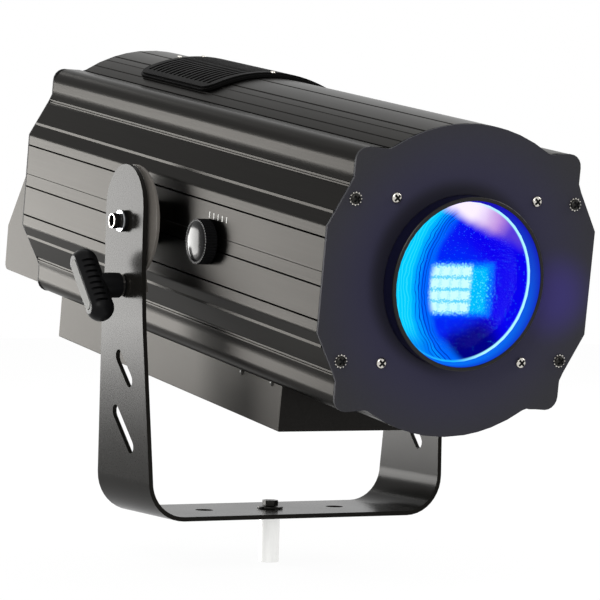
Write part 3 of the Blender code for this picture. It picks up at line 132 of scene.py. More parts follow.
# Knobs
SHAFT_HOLE_RADIUS = 0.0035
FOCUS_Y = 0.2065
FOCUS_RADIUS = 0.0198
FOCUS_FOOT = 0.1306
FOCUS_HEIGHT = 0.0110
FOCUS_DOME = 0.0024
ARM_X = 0.1560
LOCK_DROP = 0.0575
HANDLE_TURN = radians(42.7)


# Colours, nodes and materials

def linear(code):
    """An sRGB hex colour as linear values with full alpha."""
    parts = [int(code[index:index + 2], 16) / 255 for index in (0, 2, 4)]
    return (*[part / 12.92 if part <= 0.04045 else ((part + 0.055) / 1.055) ** 2.4 for part in parts], 1.0)


def add(tree, kind, links=None, **settings):
    """Adds a node with its sockets' links or values and its settings, and returns its first live output."""
    made = tree.nodes.new(kind)
    for name, value in settings.items():
        setattr(made, name, value)
    for key, value in (links or {}).items():
        if isinstance(value, NodeSocket):
            tree.links.new(value, made.inputs[key])
        else:
            made.inputs[key].default_value = value
    return next((socket for socket in made.outputs if socket.enabled), None)


def material(name, **sockets):
    """A material with its output and Principled shader, whose sockets are set by name."""
    made = bpy.data.materials.new(name)
    made.use_nodes = True
    tree = made.node_tree
    tree.nodes.clear()
    shader = tree.nodes.new("ShaderNodeBsdfPrincipled")
    add(tree, "ShaderNodeOutputMaterial", {"Surface": shader.outputs[0]})
    for key, value in sockets.items():
        shader.inputs[key.replace("_", " ")].default_value = value
    return made, tree, shader


def pattern_space(tree, size, tilted=True):
    """Object coordinates counted in a pattern's size; on the head they run along its own axes."""
    place = add(tree, "ShaderNodeTexCoord").node.outputs["Object"]
    turn = {"Location": PIVOT, "Rotation": (TILT, 0.0, 0.0)} if tilted else {}
    size = size if isinstance(size, tuple) else (size,) * 3
    return add(tree, "ShaderNodeMapping", {"Vector": place, "Scale": size, **turn}, vector_type="TEXTURE")


def finish(name, colour, metallic, roughness, grain, depth, tone=0.1, spread=0.05, tilted=True, **sockets):
    """A surface with a grain of a real size that varies its tone and height, and soft patches of gloss."""
    made, tree, shader = material(name, Metallic=metallic, **sockets)
    grains = add(tree, "ShaderNodeTexNoise", {"Vector": pattern_space(tree, grain, tilted), "Scale": 1.0,
                                              "Detail": 3.0, "Roughness": 0.55})
    patches = add(tree, "ShaderNodeTexNoise", {"Vector": pattern_space(tree, GLOSS_PATCH, tilted),
                                               "Scale": 1.0, "Detail": 1.0})
    shade = add(tree, "ShaderNodeMapRange", {"Value": grains, "From Min": 0.3, "From Max": 0.7,
                                             "To Min": 1 - tone, "To Max": 1 + tone})
    gloss = add(tree, "ShaderNodeMapRange", {"Value": patches, "From Min": 0.1, "From Max": 0.9,
                                             "To Min": roughness - spread, "To Max": roughness + spread})
    tinted = add(tree, "ShaderNodeVectorMath", {0: colour[:3], "Scale": shade}, operation="SCALE")
    bump = add(tree, "ShaderNodeBump", {"Height": grains, "Strength": 1.0, "Distance": depth})
    for key, value in {"Base Color": tinted, "Roughness": gloss, "Normal": bump}.items():
        tree.links.new(value, shader.inputs[key])
    return made


def mask(tree, *steps):
    """The product of masks and of soft steps, from a low to a high level, of a value or of the distance
    of a place from a point of the lens."""
    product = None
    for value, *levels in steps:
        if isinstance(value, tuple):
            place, across, up = value
            value = add(tree, "ShaderNodeVectorMath", {0: place, 1: (across, 0.0, up)}, operation="DISTANCE")
        if levels:
            low, high, *top = levels
            value = add(tree, "ShaderNodeMapRange", {"Value": value, "From Min": low, "From Max": high,
                                                     "To Max": top[0] if top else 1.0},
                        interpolation_type="SMOOTHSTEP")
        product = value if product is None else add(tree, "ShaderNodeMath", {0: product, 1: value},
                                                    operation="MULTIPLY")
    return product


def layered(tree, base, *layers):
    """A colour with others laid over it, each a hex code or a value before the steps of its mask."""
    for colour, *steps in layers:
        colour = linear(colour) if isinstance(colour, str) else colour
        base = add(tree, "ShaderNodeMix", {0: mask(tree, *steps), 6: base, 7: colour}, data_type="RGBA")
    return base


def lens_plane(tree):
    """The place across the head's front in millimetres, without its depth."""
    return add(tree, "ShaderNodeVectorMath", {0: pattern_space(tree, MM), 1: (1.0, 0.0, 1.0)},
               operation="MULTIPLY")


# Outlines

def arc_points(centre, radius, start, end, steps):
    """Points along an arc, both ends included, angles in degrees."""
    angles = [radians(start + (end - start) * step / steps) for step in range(steps + 1)]
    return [(centre[0] + radius * cos(angle), centre[1] + radius * sin(angle)) for angle in angles]


def rounded_box(half_x, half_y, radius, steps=6):
    """A rectangle with round corners about the origin."""
    points = []
    for index, (x, y) in enumerate(((1, 1), (-1, 1), (-1, -1), (1, -1))):
        corner = (x * (half_x - radius), y * (half_y - radius))
        points += arc_points(corner, radius, index * 90.0, index * 90.0 + 90.0, steps)
    return points


def groove(point, normal, width, depth):
    """Three points of a sharp groove or, with a negative depth, a bead along an anticlockwise outline."""
    normal = Vector(normal).normalized()
    along = Vector((-normal.y, normal.x)) * (width / 2)
    place = Vector(point)
    return [tuple(place - along), tuple(place - normal * depth), tuple(place + along)]


def crown_point(angle, lift=0.0):
    """A point of the crown by its angle from straight up, in degrees."""
    reach = CROWN_RADIUS + lift
    return (reach * sin(radians(angle)), CROWN_TOP - CROWN_RADIUS + reach * cos(radians(angle)))


def housing_quarter(faint):
    """The drawn section from its side up to its crown, with its line near the side's middle faint or cut."""
    corner = Vector((HALF, SIDE_FLAT / 2))
    run = (NECK - corner).normalized()
    facet = Vector((run.y, -run.x))
    lean = degrees(atan2(facet.y, facet.x))
    soft = 0.007
    back = soft * sin(radians(lean)) / (1 + cos(radians(lean)))
    line = (0.0006, 0.0003) if faint else (0.0015, 0.0017)
    points = groove((HALF, 0.0060), (1, 0), *line) + groove((HALF, 0.0340), (1, 0), 0.0016, 0.0018)
    points += arc_points((HALF - soft, corner.y - back), soft, 0.0, lean, 8)
    step = corner + run * 0.0112
    points += [tuple(step), (step.x, step.y + 0.0023), tuple(corner + run * 0.0141)]
    fin = NECK.x - 0.0004
    points += [tuple(corner + run * 0.0350), (fin, 0.0761), (fin, 0.0772), (fin - 0.0014, 0.0774),
               (fin - 0.0014, 0.0783), (fin - 0.0002, 0.0785), (fin - 0.0002, 0.0795),
               (fin - 0.0013, 0.0797)]
    points += [(LOBE_X + 0.0014 * share ** 2, 0.0880 - 0.0080 * share)
               for share in (0.85, 0.7, 0.55, 0.4, 0.25, 0.1, 0.0)]
    points += arc_points((LOBE_X - LOBE_RADIUS, LOBE_TOP - LOBE_RADIUS), LOBE_RADIUS, 0.0, 90.0, 20)
    points += [(VALLEY_X + 0.004, LOBE_TOP - 0.0002), (VALLEY_X, LOBE_TOP - VALLEY_DEPTH)]
    features = {33.5: (0.0014, 0.0010), 28.8: (0.0016, 0.0010), 23.2: (0.0012, -0.0004),
                19.2: (0.0024, 0.0018), 8.0: (0.0028, 0.0018)}
    angle = 34.3
    while angle > 0.3:
        near = [stop for stop in features if 0 <= angle - stop < 0.9]
        if near:
            stop = near[0]
            points += groove(crown_point(stop), (sin(radians(stop)), cos(radians(stop))),
                             *features.pop(stop))
            angle = stop - 0.9
        else:
            points.append(crown_point(angle))
            angle -= 0.9
    return points


def whole(upper, lower, lift=0.0):
    """The whole outline, anticlockwise from its right side, from its quarters above and below."""
    halves = [quarter + [crown_point(0.0, lift)] + [(-x, z) for x, z in reversed(quarter)]
              for quarter in (upper, lower)]
    return halves[0] + [(-x, -z) for x, z in halves[1]]


def housing_bore():
    """The inside of the housing, a wall's thickness in from its plain outline."""
    quarter = [(HALF - WALL, SIDE_FLAT / 2 - WALL / 3), (NECK.x - WALL, NECK.y),
               (LOBE_X - WALL, NECK.y + LOBE_FOOT)]
    quarter += arc_points((LOBE_X - LOBE_RADIUS, LOBE_TOP - LOBE_RADIUS), LOBE_RADIUS - WALL, 0.0, 90.0, 6)
    quarter += [(VALLEY_X, LOBE_TOP - VALLEY_DEPTH - WALL)]
    quarter += [crown_point(angle, -WALL) for angle in (30, 25, 20, 15, 10, 5)]
    return whole(quarter, quarter, -WALL)


# Meshes

def taken(holder):
    """The evaluated mesh of a holder object, which is then removed."""
    bpy.context.scene.collection.objects.link(holder)
    mesh = bpy.data.meshes.new_from_object(holder.evaluated_get(bpy.context.evaluated_depsgraph_get()))
    bpy.data.objects.remove(holder)
    return mesh


def smoothed(mesh, angle=32.0):
    """Smooth shading that keeps edges sharper than an angle and flat faces flat."""
    mesh.polygons.foreach_set("use_smooth", [True] * len(mesh.polygons))
    mesh.set_sharp_from_angle(angle=radians(angle))
    holder = bpy.data.objects.new("smoothed", mesh)
    weighted = holder.modifiers.new("weighted", "WEIGHTED_NORMAL")
    weighted.keep_sharp = True
    weighted.weight = 100
    return taken(holder)


def opened(*meshes):
    """One or more meshes as a bmesh to work on."""
    shape = bmesh.new()
    for mesh in meshes:
        shape.from_mesh(mesh)
    return shape


def meshed(shape, mesh=None):
    """The mesh that a bmesh ends in."""
    mesh = mesh or bpy.data.meshes.new("made")
    shape.to_mesh(mesh)
    shape.free()
    return mesh


def gathered(*parts):
    """Several meshes as one."""
    return meshed(opened(*parts))


def welded(mesh, dissolve=False):
    """Merges doubles, and then either points the faces outwards or merges the flat ones."""
    shape = opened(mesh)
    bmesh.ops.remove_doubles(shape, verts=shape.verts, dist=0.000004)
    if dissolve:
        bmesh.ops.dissolve_limit(shape, angle_limit=radians(0.5), verts=shape.verts, edges=shape.edges)
    else:
        bmesh.ops.recalc_face_normals(shape, faces=shape.faces)
    return meshed(shape, mesh)


def prism(outlines, low, high):
    """A flat outline with its holes, filled from one height to another."""
    curve = bpy.data.curves.new("outline", "CURVE")
    curve.dimensions = "2D"
    curve.fill_mode = "BOTH"
    curve.extrude = (high - low) / 2
    for outline in outlines:
        spline = curve.splines.new("POLY")
        spline.points.add(len(outline) - 1)
        for control, (x, y) in zip(spline.points, outline):
            control.co = (x, y, 0.0, 1.0)
        spline.use_cyclic_u = True
    mesh = taken(bpy.data.objects.new("outline", curve))
    bpy.data.curves.remove(curve)
    mesh.transform(Matrix.Translation((0.0, 0.0, (high + low) / 2)))
    return welded(mesh)


def skinned(rows, ring=False, capped=False):
    """A shape through rows of as many points or of one, joined into a ring or closed by its end rows."""
    shape = bmesh.new()
    rows = [[shape.verts.new(point) for point in row] for row in rows]
    for first, second in zip(rows, rows[1:] + ([rows[0]] if ring else [])):
        steps = max(len(first), len(second))
        for step in range(steps):
            after = (step + 1) % steps
            corners = list(dict.fromkeys((first[step % len(first)], first[after % len(first)],
                                          second[after % len(second)], second[step % len(second)])))
            if len(corners) > 2:
                shape.faces.new(corners)
    if capped:
        shape.faces.new(rows[0][::-1])
        shape.faces.new(rows[-1])
    bmesh.ops.recalc_face_normals(shape, faces=shape.faces)
    return meshed(shape)


def turned(profile, steps, ring=False):
    """A turned piece about Z from its profile of radii and heights."""
    angles = [2 * pi * step / steps for step in range(steps)]
    return skinned([[(0.0, 0.0, height)] if radius < 0.00001 else
                    [(radius * cos(angle), radius * sin(angle), height) for angle in angles]
                    for radius, height in profile], ring)


def stacked(layers):
    """A closed shape through outlines of as many points, each at its height."""
    return skinned([[(x, y, height) for x, y in outline] for height, outline in layers], capped=True)


def boxes(*corners):
    """Boxes by their lowest and highest corners, as one mesh."""
    shape = bmesh.new()
    for low, high in corners:
        size = [top - bottom for bottom, top in zip(low, high)]
        middle = [(top + bottom) / 2 for bottom, top in zip(low, high)]
        bmesh.ops.create_cube(shape, size=1.0,
                              matrix=Matrix.Translation(middle) @ Matrix.Diagonal((*size, 1.0)))
    return meshed(shape)


def moved(mesh, *matrices):
    """The mesh after the matrices, the last one first."""
    for matrix in reversed(matrices):
        mesh.transform(matrix)
    return mesh


def outward(sign, across, along, up=0.0):
    """The matrices that set a piece made lying flat on a side, facing away from the middle."""
    return Matrix.Translation((sign * across, along, up)), Matrix.Rotation(sign * pi / 2, 4, "Y")


def carved(mesh, *tools):
    """The mesh after each tool is cut from it."""
    for tool in tools:
        cutter = bpy.data.objects.new("cutter", tool)
        bpy.context.scene.collection.objects.link(cutter)
        holder = bpy.data.objects.new("carved", mesh)
        modifier = holder.modifiers.new("cut", "BOOLEAN")
        modifier.object, modifier.operation, modifier.solver = cutter, "DIFFERENCE", "EXACT"
        mesh = taken(holder)
        bpy.data.objects.remove(cutter)
    return mesh


def bevelled(mesh, width, segments=2, angle=30.0):
    """The mesh with its sharp edges rounded."""
    shape = opened(mesh)
    edges = [edge for edge in shape.edges
             if len(edge.link_faces) == 2 and degrees(edge.calc_face_angle(0.0)) >= angle]
    bmesh.ops.bevel(shape, geom=edges, offset=width, segments=segments, profile=0.5, affect="EDGES",
                    clamp_overlap=True)
    return meshed(shape, mesh)


def repeated(mesh, kind, look, **values):
    """What a Geometry Nodes tree makes of a unit mesh, with its finish and its inputs set by name."""
    values["Finish"] = LOOKS[look]
    holder = bpy.data.objects.new("repeated", mesh)
    modifier = holder.modifiers.new("repeat", "NODES")
    modifier.node_group = TREES[kind]
    for item in TREES[kind].interface.items_tree:
        if item.item_type == "SOCKET" and item.in_out == "INPUT" and item.name in values:
            modifier[item.identifier] = values[item.name]
    return taken(holder)


def repeat_tree(name, inputs):
    """A Geometry Nodes tree with its unit, sizes and material as inputs, and its input node."""
    tree = bpy.data.node_groups.new(name, "GeometryNodeTree")
    tree.interface.new_socket("Geometry", in_out="OUTPUT", socket_type="NodeSocketGeometry")
    for label, kind in (("Unit", "Geometry"), *inputs, ("Finish", "Material")):
        tree.interface.new_socket(label, in_out="INPUT", socket_type=f"NodeSocket{kind}")
    return tree, add(tree, "NodeGroupInput").node.outputs


def close_tree(tree, instances, source):
    """Ends a tree in Realize Instances and Set Material."""
    real = add(tree, "GeometryNodeRealizeInstances", {"Geometry": instances})
    done = add(tree, "GeometryNodeSetMaterial", {"Geometry": real, "Material": source["Finish"]})
    add(tree, "NodeGroupOutput", {0: done})
    return tree


def row_tree():
    """Repeats the unit in rows and columns from a first place."""
    tree, source = repeat_tree("rows_and_columns", (("Columns", "Int"), ("Rows", "Int"), ("Start", "Vector"),
                                                    ("Column step", "Vector"), ("Row step", "Vector")))
    made = source["Unit"]
    for count, start, step in (("Columns", source["Start"], "Column step"),
                               ("Rows", (0.0, 0.0, 0.0), "Row step")):
        line = add(tree, "GeometryNodeMeshLine", {"Count": source[count], "Start Location": start,
                                                  "Offset": source[step]}, mode="OFFSET")
        made = add(tree, "GeometryNodeInstanceOnPoints", {"Points": line, "Instance": made})
    return close_tree(tree, made, source)


def ring_tree():
    """Repeats the unit round Z, each copy turned to face outwards."""
    tree, source = repeat_tree("ring_of_pieces", (("Count", "Int"), ("Radius", "Float")))
    circle = add(tree, "GeometryNodeMeshCircle", {"Vertices": source["Count"], "Radius": source["Radius"]},
                 fill_type="NONE")
    step = add(tree, "ShaderNodeMath", {0: 2 * pi, 1: source["Count"]}, operation="DIVIDE")
    turn = add(tree, "ShaderNodeMath", {0: add(tree, "GeometryNodeInputIndex"), 1: step},
               operation="MULTIPLY")
    spin = add(tree, "ShaderNodeCombineXYZ", {"Z": turn})
    ring = add(tree, "GeometryNodeInstanceOnPoints",
               {"Points": circle, "Instance": source["Unit"], "Rotation": spin})
    return close_tree(tree, ring, source)


def settle(name, mesh, look, slot, *replaced, body="head_body", smooth=32.0):
    """Makes a finished mesh a piece that rides on its body and stands for its nodes."""
    mesh = smoothed(mesh, smooth)
    mesh.name = name
    mesh.materials.clear()
    mesh.materials.append(LOOKS[look])
    piece = bpy.data.objects.new(name, mesh)
    bpy.context.scene.collection.objects.link(piece)
    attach(piece, body)
    if replaced:
        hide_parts(*replaced)


def faced(name, mesh, look, slot, *replaced):
    """A piece of the head that is made lying flat and set facing forwards."""
    settle(name, moved(mesh, HEAD, FACING_FRONT), look, slot, *replaced)


def dressed(look, slot, width, *nodes):
    """Copies of CAD nodes with their facets merged and their edges rounded, in the nodes' places."""
    for node in nodes:
        mesh = bevelled(welded(NODES[node].data.copy(), dissolve=True), width)
        settle(node + "_finished", mesh, look, slot, node, body=BODY_OF[node])


def painted(look, *nodes):
    """Gives CAD nodes a finish."""
    for node in nodes:
        slots = NODES[node].material_slots
        for slot in slots:
            slot.material = LOOKS[look]
        if not slots:
            NODES[node].data.materials.append(LOOKS[look])


# Sizes and colours a user would change

class FollowspotSizes(PropertyGroup):
    """Sizes of the finish and of what repeats."""
    brush_pitch: FloatProperty(name="Brush line pitch", default=0.0009, unit="LENGTH",
                               description="Spacing of the brushed lines along the housing, drawn coarse")
    edge_round: FloatProperty(name="Sheet edge rounding", default=0.0005, unit="LENGTH",
                              description="Radius on the edges of the painted sheets")
    vent_slots: IntProperty(name="Vent slots", default=15, min=2,
                            description="Slots across the vent on the crown")
    knob_scallops: IntProperty(name="Focus knob scallops", default=48, min=8,
                               description="Scallops round the focus knob's edge")
    grip_grooves: IntProperty(name="Grip grooves", default=8, min=2,
                              description="Grooves along each side of a lock knob's handle")
    dust: FloatProperty(name="Dust in the lens", default=0.82, min=0.0, max=0.98, subtype="FACTOR",
                        description="Threshold of the specks on the lit lens; higher is cleaner")


class FollowspotColours(PropertyGroup):
    """Colours of the finishes and of the lit lens."""
    housing: FloatVectorProperty(name="Housing", size=4, subtype="COLOR", default=linear("1F1E1D"),
                                 description="Anodised aluminium of the housing and boxes")
    yoke: FloatVectorProperty(name="Yoke", size=4, subtype="COLOR", default=linear("1B1A18"),
                              description="Satin paint of the yoke")
    plate: FloatVectorProperty(name="Plates", size=4, subtype="COLOR", default=linear("2C2C30"),
                               description="Matt powder coat of the end plates and the lens tube")
    plastic: FloatVectorProperty(name="Knobs", size=4, subtype="COLOR", default=linear("111112"),
                                 description="Black plastic of the knobs, vent and sockets")
    glow: FloatVectorProperty(name="Lit lens", size=4, subtype="COLOR", default=linear("0A00E6"),
                              description="Deep colour of the lit lens")
    glow_rim: FloatVectorProperty(name="Lit lens rim", size=4, subtype="COLOR", default=linear("00CCF8"),
                                  description="Bright colour at the lit lens's side")


LOOKS = {}
TREES = {}


def sizes():
    """The sizes in force."""
    return bpy.context.scene.followspot_sizes


def colours():
    """The colours in force."""
    return bpy.context.scene.followspot_colours


class FOLLOWSPOT_OT_finishes(Operator):
    """Makes the materials and the repeating node trees that the other steps use"""
    bl_idname = "followspot.finishes"
    bl_label = "Finishes"

    def execute(self, context):
        tone, pitch = colours(), sizes().brush_pitch
        dark_edge = {"Specular_Tint": (0.63, 0.628, 0.622, 1.0)}
        warm_edge = {"Specular_Tint": (1.0, 0.975, 0.93, 1.0)}
        table = (
            # Black anodised aluminium, brushed along the extrusion: dark, warm sheen, fine lengthwise lines
            ("anodised", "brushed_anodised_aluminium", tone.housing, 1.0, 0.28, (pitch, 0.09, pitch), 0.00001,
             {"tone": 0.12, "spread": 0.004, **dark_edge}),
            # The same sheet, rolled: no lines, a little softer
            ("sheet", "anodised_sheet", tone.housing, 1.0, 0.33, 0.0016, 0.000006,
             {"spread": 0.004, **dark_edge}),
            # Satin enamel on bent steel strip: faint orange peel, dark with a broad sheen
            ("yoke", "satin_enamel_steel", tone.yoke, 0.0, 0.21, 0.0014, 0.000006,
             {"tilted": False, "spread": 0.02, "Specular_IOR_Level": 0.04, **warm_edge}),
            # Matt powder coat away from the lens's light: fine even grain, almost no gloss
            ("coat", "matt_powder_coat_rear", linear("242424"), 0.0, 0.62, 0.0011, 0.00003,
             {"Specular_IOR_Level": 0.2}),
            # Moulded black nylon: soft highlight, slight flow marks
            ("plastic", "moulded_black_plastic", tone.plastic, 0.0, 0.36, 0.0018, 0.00001,
             {"Specular_IOR_Level": 0.07}),
            # Moulded vent cover: deeper black with hardly a highlight
            ("vent", "moulded_vent_plastic", linear("0B0B0B"), 0.0, 0.55, 0.0013, 0.00002,
             {"Specular_IOR_Level": 0.04}),
            # Glossy moulded cap: smooth, with a clear highlight
            ("cap", "polished_black_plastic", tone.plastic, 0.0, 0.12, 0.003, 0.000004,
             {"spread": 0.02, "Specular_IOR_Level": 0.1}),
            # Baked enamel on the tilt plates: plain grey-brown, even and almost matt
            ("enamel", "baked_enamel_steel", linear("6A6661"), 0.0, 0.45, 0.0012, 0.000008,
             {"Specular_IOR_Level": 0.25}),
            # Black enamel on the lens tube: darker and smoother than the plate's powder coat; its blue tint
            # is the lens's blue light painted into the colour
            ("tube", "smooth_black_enamel", linear("101026"), 0.0, 0.34, 0.001, 0.000006,
             {"Specular_IOR_Level": 0.12}),
            # Nickel plate on turned steel: bright, with faint turning marks
            ("nickel", "nickel_plated_steel", linear("C9C5BE"), 1.0, 0.2, 0.0008, 0.000004, {"tone": 0.06}),
            # Chemically blackened steel: dark and satin
            ("black_steel", "blackened_steel", linear("262523"), 0.8, 0.34, 0.0009, 0.00001, {}),
            # Zinc plate: grey, in soft brighter and duller patches
            ("zinc", "zinc_plated_steel", linear("B9BBBE"), 1.0, 0.33, 0.0022, 0.00001,
             {"tone": 0.08, "spread": 0.1}),
            # Bright drawn steel on the spigot: pale, soft sheen
            ("spigot", "bright_drawn_steel", linear("F0F0EE"), 1.0, 0.4, (0.0006, 0.0006, 0.01), 0.000004,
             {"tone": 0.03, "tilted": False}),
            # Machined aluminium: pale, with tool lines
            ("aluminium", "machined_aluminium", linear("B4B4B2"), 1.0, 0.32, (0.0006, 0.02, 0.0006), 0.000008,
             {}),
            # Pressed fibre of the friction washers: dull brown-black, rough
            ("fibre", "pressed_fibre", linear("2B2622"), 0.0, 0.85, 0.0007, 0.00005,
             {"tone": 0.25, "tilted": False}),
            # Solder resist on a circuit board: glossy dark green
            ("board", "solder_resist_board", linear("12431F"), 0.0, 0.4, 0.002, 0.00003, {"tone": 0.3}),
            # Screen-printed ink: flat white lines
            ("white_print", "white_print_ink", linear("F4F4F0"), 0.0, 0.5, 0.0008, 0.00001, {}),
            # Printed face plate of the handles: even mid grey
            ("face_plate", "grey_printed_plate", linear("6C6C69"), 0.0, 0.5, 0.0006, 0.00001,
             {"tilted": False, "Specular_IOR_Level": 0.1}),
            # White solder resist of the lamp board: clean and pale
            ("lamp", "white_lamp_board", linear("E4E8EA"), 0.0, 0.35, 0.004, 0.00001, {}),
            # Tinted acrylic window: almost black, mirror smooth
            ("screen", "tinted_display_window", linear("071018"), 0.0, 0.08, 0.02, 0.0000005, {}))
        for key, name, colour, metallic, roughness, grain, depth, more in table:
            LOOKS[key] = finish(name, colour, metallic, roughness, grain, depth, **more)
        LOOKS.update(plate=plate_look(), filter=filter_look(), glass=glass_look(), glow=glow_look(),
                     bore=bore_look())
        TREES.update(row=row_tree(), ring=ring_tree())
        return {"FINISHED"}


def plate_look():
    """Matt powder coat: fine even grain, with the lens's blue light painted round the tube, a painted violet
    patch of that light beside it, and a painted shadow close round the tube's foot.
    """
    made = finish("matt_powder_coat", colours().plate, 0.0, 0.62, 0.0011, 0.00003, Specular_IOR_Level=0.2)
    tree = made.node_tree
    shader = next(item for item in tree.nodes if item.type == "BSDF_PRINCIPLED")
    grain = shader.inputs["Base Color"].links[0].from_socket
    flat = lens_plane(tree)
    tone = layered(tree, grain,
                   # Painted light: the lens's blue light, fading out from the tube
                   ("2B2945", ((flat, 0.0, 0.0), 150.0, 76.0, 0.75)),
                   # Painted light: a violet patch of the lens's light beside the tube
                   ("382F74", ((flat, 96.0, -12.0), 46.0, 6.0, 0.8)),
                   # Painted shadow: darkening close round the tube, a little off towards -X and up
                   ("0A0A0E", ((flat, -6.0, 4.0), 86.0, 72.0, 0.7)))
    tree.links.new(tone, shader.inputs["Base Color"])
    return made


def filter_look():
    """Dichroic glass: clear colours that change round the ring."""
    made, tree, shader = material("dichroic_filter_glass", Roughness=0.06, Transmission_Weight=0.6)
    wave = add(tree, "ShaderNodeTexNoise", {"Vector": pattern_space(tree, MM), "Scale": 0.02, "Detail": 0.0})
    hue = add(tree, "ShaderNodeHueSaturation", {"Color": linear("2A50D8"), "Hue": wave})
    tree.links.new(hue, shader.inputs["Base Color"])
    return made


def glass_look():
    """Coated optical glass: clear, with little reflection of its own and little bending at a low index."""
    return material("coated_optical_glass", Base_Color=linear("F4F8FF"), Roughness=0.02, IOR=1.15,
                    Transmission_Weight=1.0, Specular_Tint=(0.03, 0.03, 0.04, 1.0))[0]


def glow_look():
    """Lens lit from behind, its glow standing for the lamp's light: deep blue field with soft square
    emitters, a cyan crescent, rings and thin arcs painted as the lit bore seen bent through the glass, and a
    pale top that is a painted reflection of a softbox.
    """
    made, tree, shader = material("lit_lens_glass", Base_Color=linear("000010"), Roughness=0.3,
                                  Specular_IOR_Level=0.0, Emission_Strength=1.1)
    flat = lens_plane(tree)

    def split(place):
        """The place's distances across and up."""
        parts = add(tree, "ShaderNodeSeparateXYZ", {0: place}).node.outputs
        return parts[0], parts[2]

    def shaken(size, amount):
        """The place, shaken by a noise of a size and an amount in millimetres."""
        noise = add(tree, "ShaderNodeTexNoise", {"Vector": flat, "Scale": 1 / size, "Detail": 2.0})
        centred = add(tree, "ShaderNodeVectorMath", {0: noise.node.outputs["Color"], 1: (0.5, 0.5, 0.5)},
                      operation="SUBTRACT")
        shift = add(tree, "ShaderNodeVectorMath", {0: centred, 1: (amount, 0.0, amount)},
                    operation="MULTIPLY")
        return add(tree, "ShaderNodeVectorMath", {0: flat, 1: shift}, operation="ADD")

    wavy, ragged = shaken(22.0, 9.0), shaken(1.6, 8.5)
    (across, up), (cell_across, cell_up), (_, wavy_up) = split(flat), split(ragged), split(wavy)

    def block(left, right, low, high, edge=2.0):
        """The steps of a soft rectangle of the lit emitters."""
        return ((cell_across, left - edge, left + edge), (cell_across, right + edge, right - edge),
                (cell_up, low - edge, low + edge), (cell_up, high + edge, high - edge))

    def gaps(place, start, amount):
        """Bright between the emitters, 10 mm apart, and nought over their middles."""
        count = add(tree, "ShaderNodeMath", {0: place, 1: 0.1, 2: start}, operation="MULTIPLY_ADD")
        share = add(tree, "ShaderNodeMath", {0: count}, operation="FRACT")
        centred = add(tree, "ShaderNodeMath", {0: share, 1: 0.5}, operation="SUBTRACT")
        off = add(tree, "ShaderNodeMath", {0: centred}, operation="ABSOLUTE")
        return mask(tree, (off, 0.26, 0.5, amount))

    crossing = add(tree, "ShaderNodeMath", {0: gaps(cell_across, 2.87, 0.315), 1: gaps(cell_up, 2.66, 0.9)},
                   operation="MAXIMUM")
    lean = add(tree, "ShaderNodeMath", {0: across, 1: 0.4}, operation="MULTIPLY")
    height = add(tree, "ShaderNodeMath", {0: wavy_up, 1: 0.916, 2: lean}, operation="MULTIPLY_ADD")
    side, wavy_side = (flat, 46.0, -2.0), (wavy, 46.0, -2.0)
    from_side = add(tree, "ShaderNodeVectorMath", {0: wavy, 1: (46.0, 0.0, -2.0)}, operation="SUBTRACT")
    rings = add(tree, "ShaderNodeTexWave", {"Vector": from_side, "Scale": 0.11, "Distortion": 0.8},
                wave_type="RINGS", rings_direction="Y")
    sheet = add(tree, "ShaderNodeCombineXYZ", {"X": across, "Y": up})
    dots = add(tree, "ShaderNodeTexVoronoi", {"Vector": sheet, "Scale": 0.42},
               voronoi_dimensions="2D").node.outputs
    pick = add(tree, "ShaderNodeSeparateXYZ", {0: dots["Color"]}).node.outputs
    dust, dot = sizes().dust, dots["Distance"]
    bright, top, centre = block(-28.7, 11.2, -26.6, 13.8), (height, 42.0, 55.0), (flat, 0.0, 0.0)
    tone = layered(
        tree, colours().glow,
        ("0038F0", (across, 20.0, -44.0, 0.5)),
        ("02007C", ((wavy, 18.0, -60.0), 40.0, 16.0)),
        ("0024EC", ((wavy, -8.0, -6.0), 46.0, 24.0)),
        ("30C8FF", (dot, 0.16, 0.03, 0.8), (pick[0], dust, dust + 0.02)),
        ("0070FF", *block(-31.0, 33.0, -29.0, 16.0, 3.0)),
        ("00BAF4", *block(8.0, 27.0, -26.0, 12.0, 3.0)),
        ("50ECFF", (dot, 0.40, 0.12, 0.9), ((flat, 16.0, -8.0), 26.0, 10.0), (pick[1], 0.3, 0.7)),
        ("D0FFFC", *bright),
        ("20CCF4", *bright, (crossing,)),
        # Painted refraction of the lit bore at the glass's side: blue bands, the cyan crescent and its rings
        ("0068F4", (wavy_side, 70.0, 79.0)),
        ("0098FF", (side, 82.0, 86.0)),
        (colours().glow_rim, (wavy_side, 86.0, 96.0)),
        ("48ECFF", (rings, 0.45, 0.95, 0.35), (side, 90.0, 96.0)),
        ("0054E8", (wavy_side, 84.0, 90.0), (wavy_up, -34.0, -58.0, 0.7)),
        ("0028B8", (rings, 0.34, 0.0), (side, 76.0, 80.0), (side, 93.0, 86.0)),
        # Painted reflection of a softbox on the glass: a pale top, white through pink to violet
        ("5A3CD0", top),
        ("C08CD8", top, ((wavy, 22.0, 58.0), 30.0, 8.0)),
        ("FFF0FF", top, ((wavy, -4.0, 66.0), 44.0, 12.0)),
        # Painted light of the lit bore: thin bright arcs just inside the rim
        ("20B8FF", (centre, 65.0, 67.0), (up, -40.0, -56.0)),
        ("B0F6FF", (centre, 64.9, 66.2), (across, 0.0, 34.0)))
    tree.links.new(tone, shader.inputs["Emission Color"])
    return made


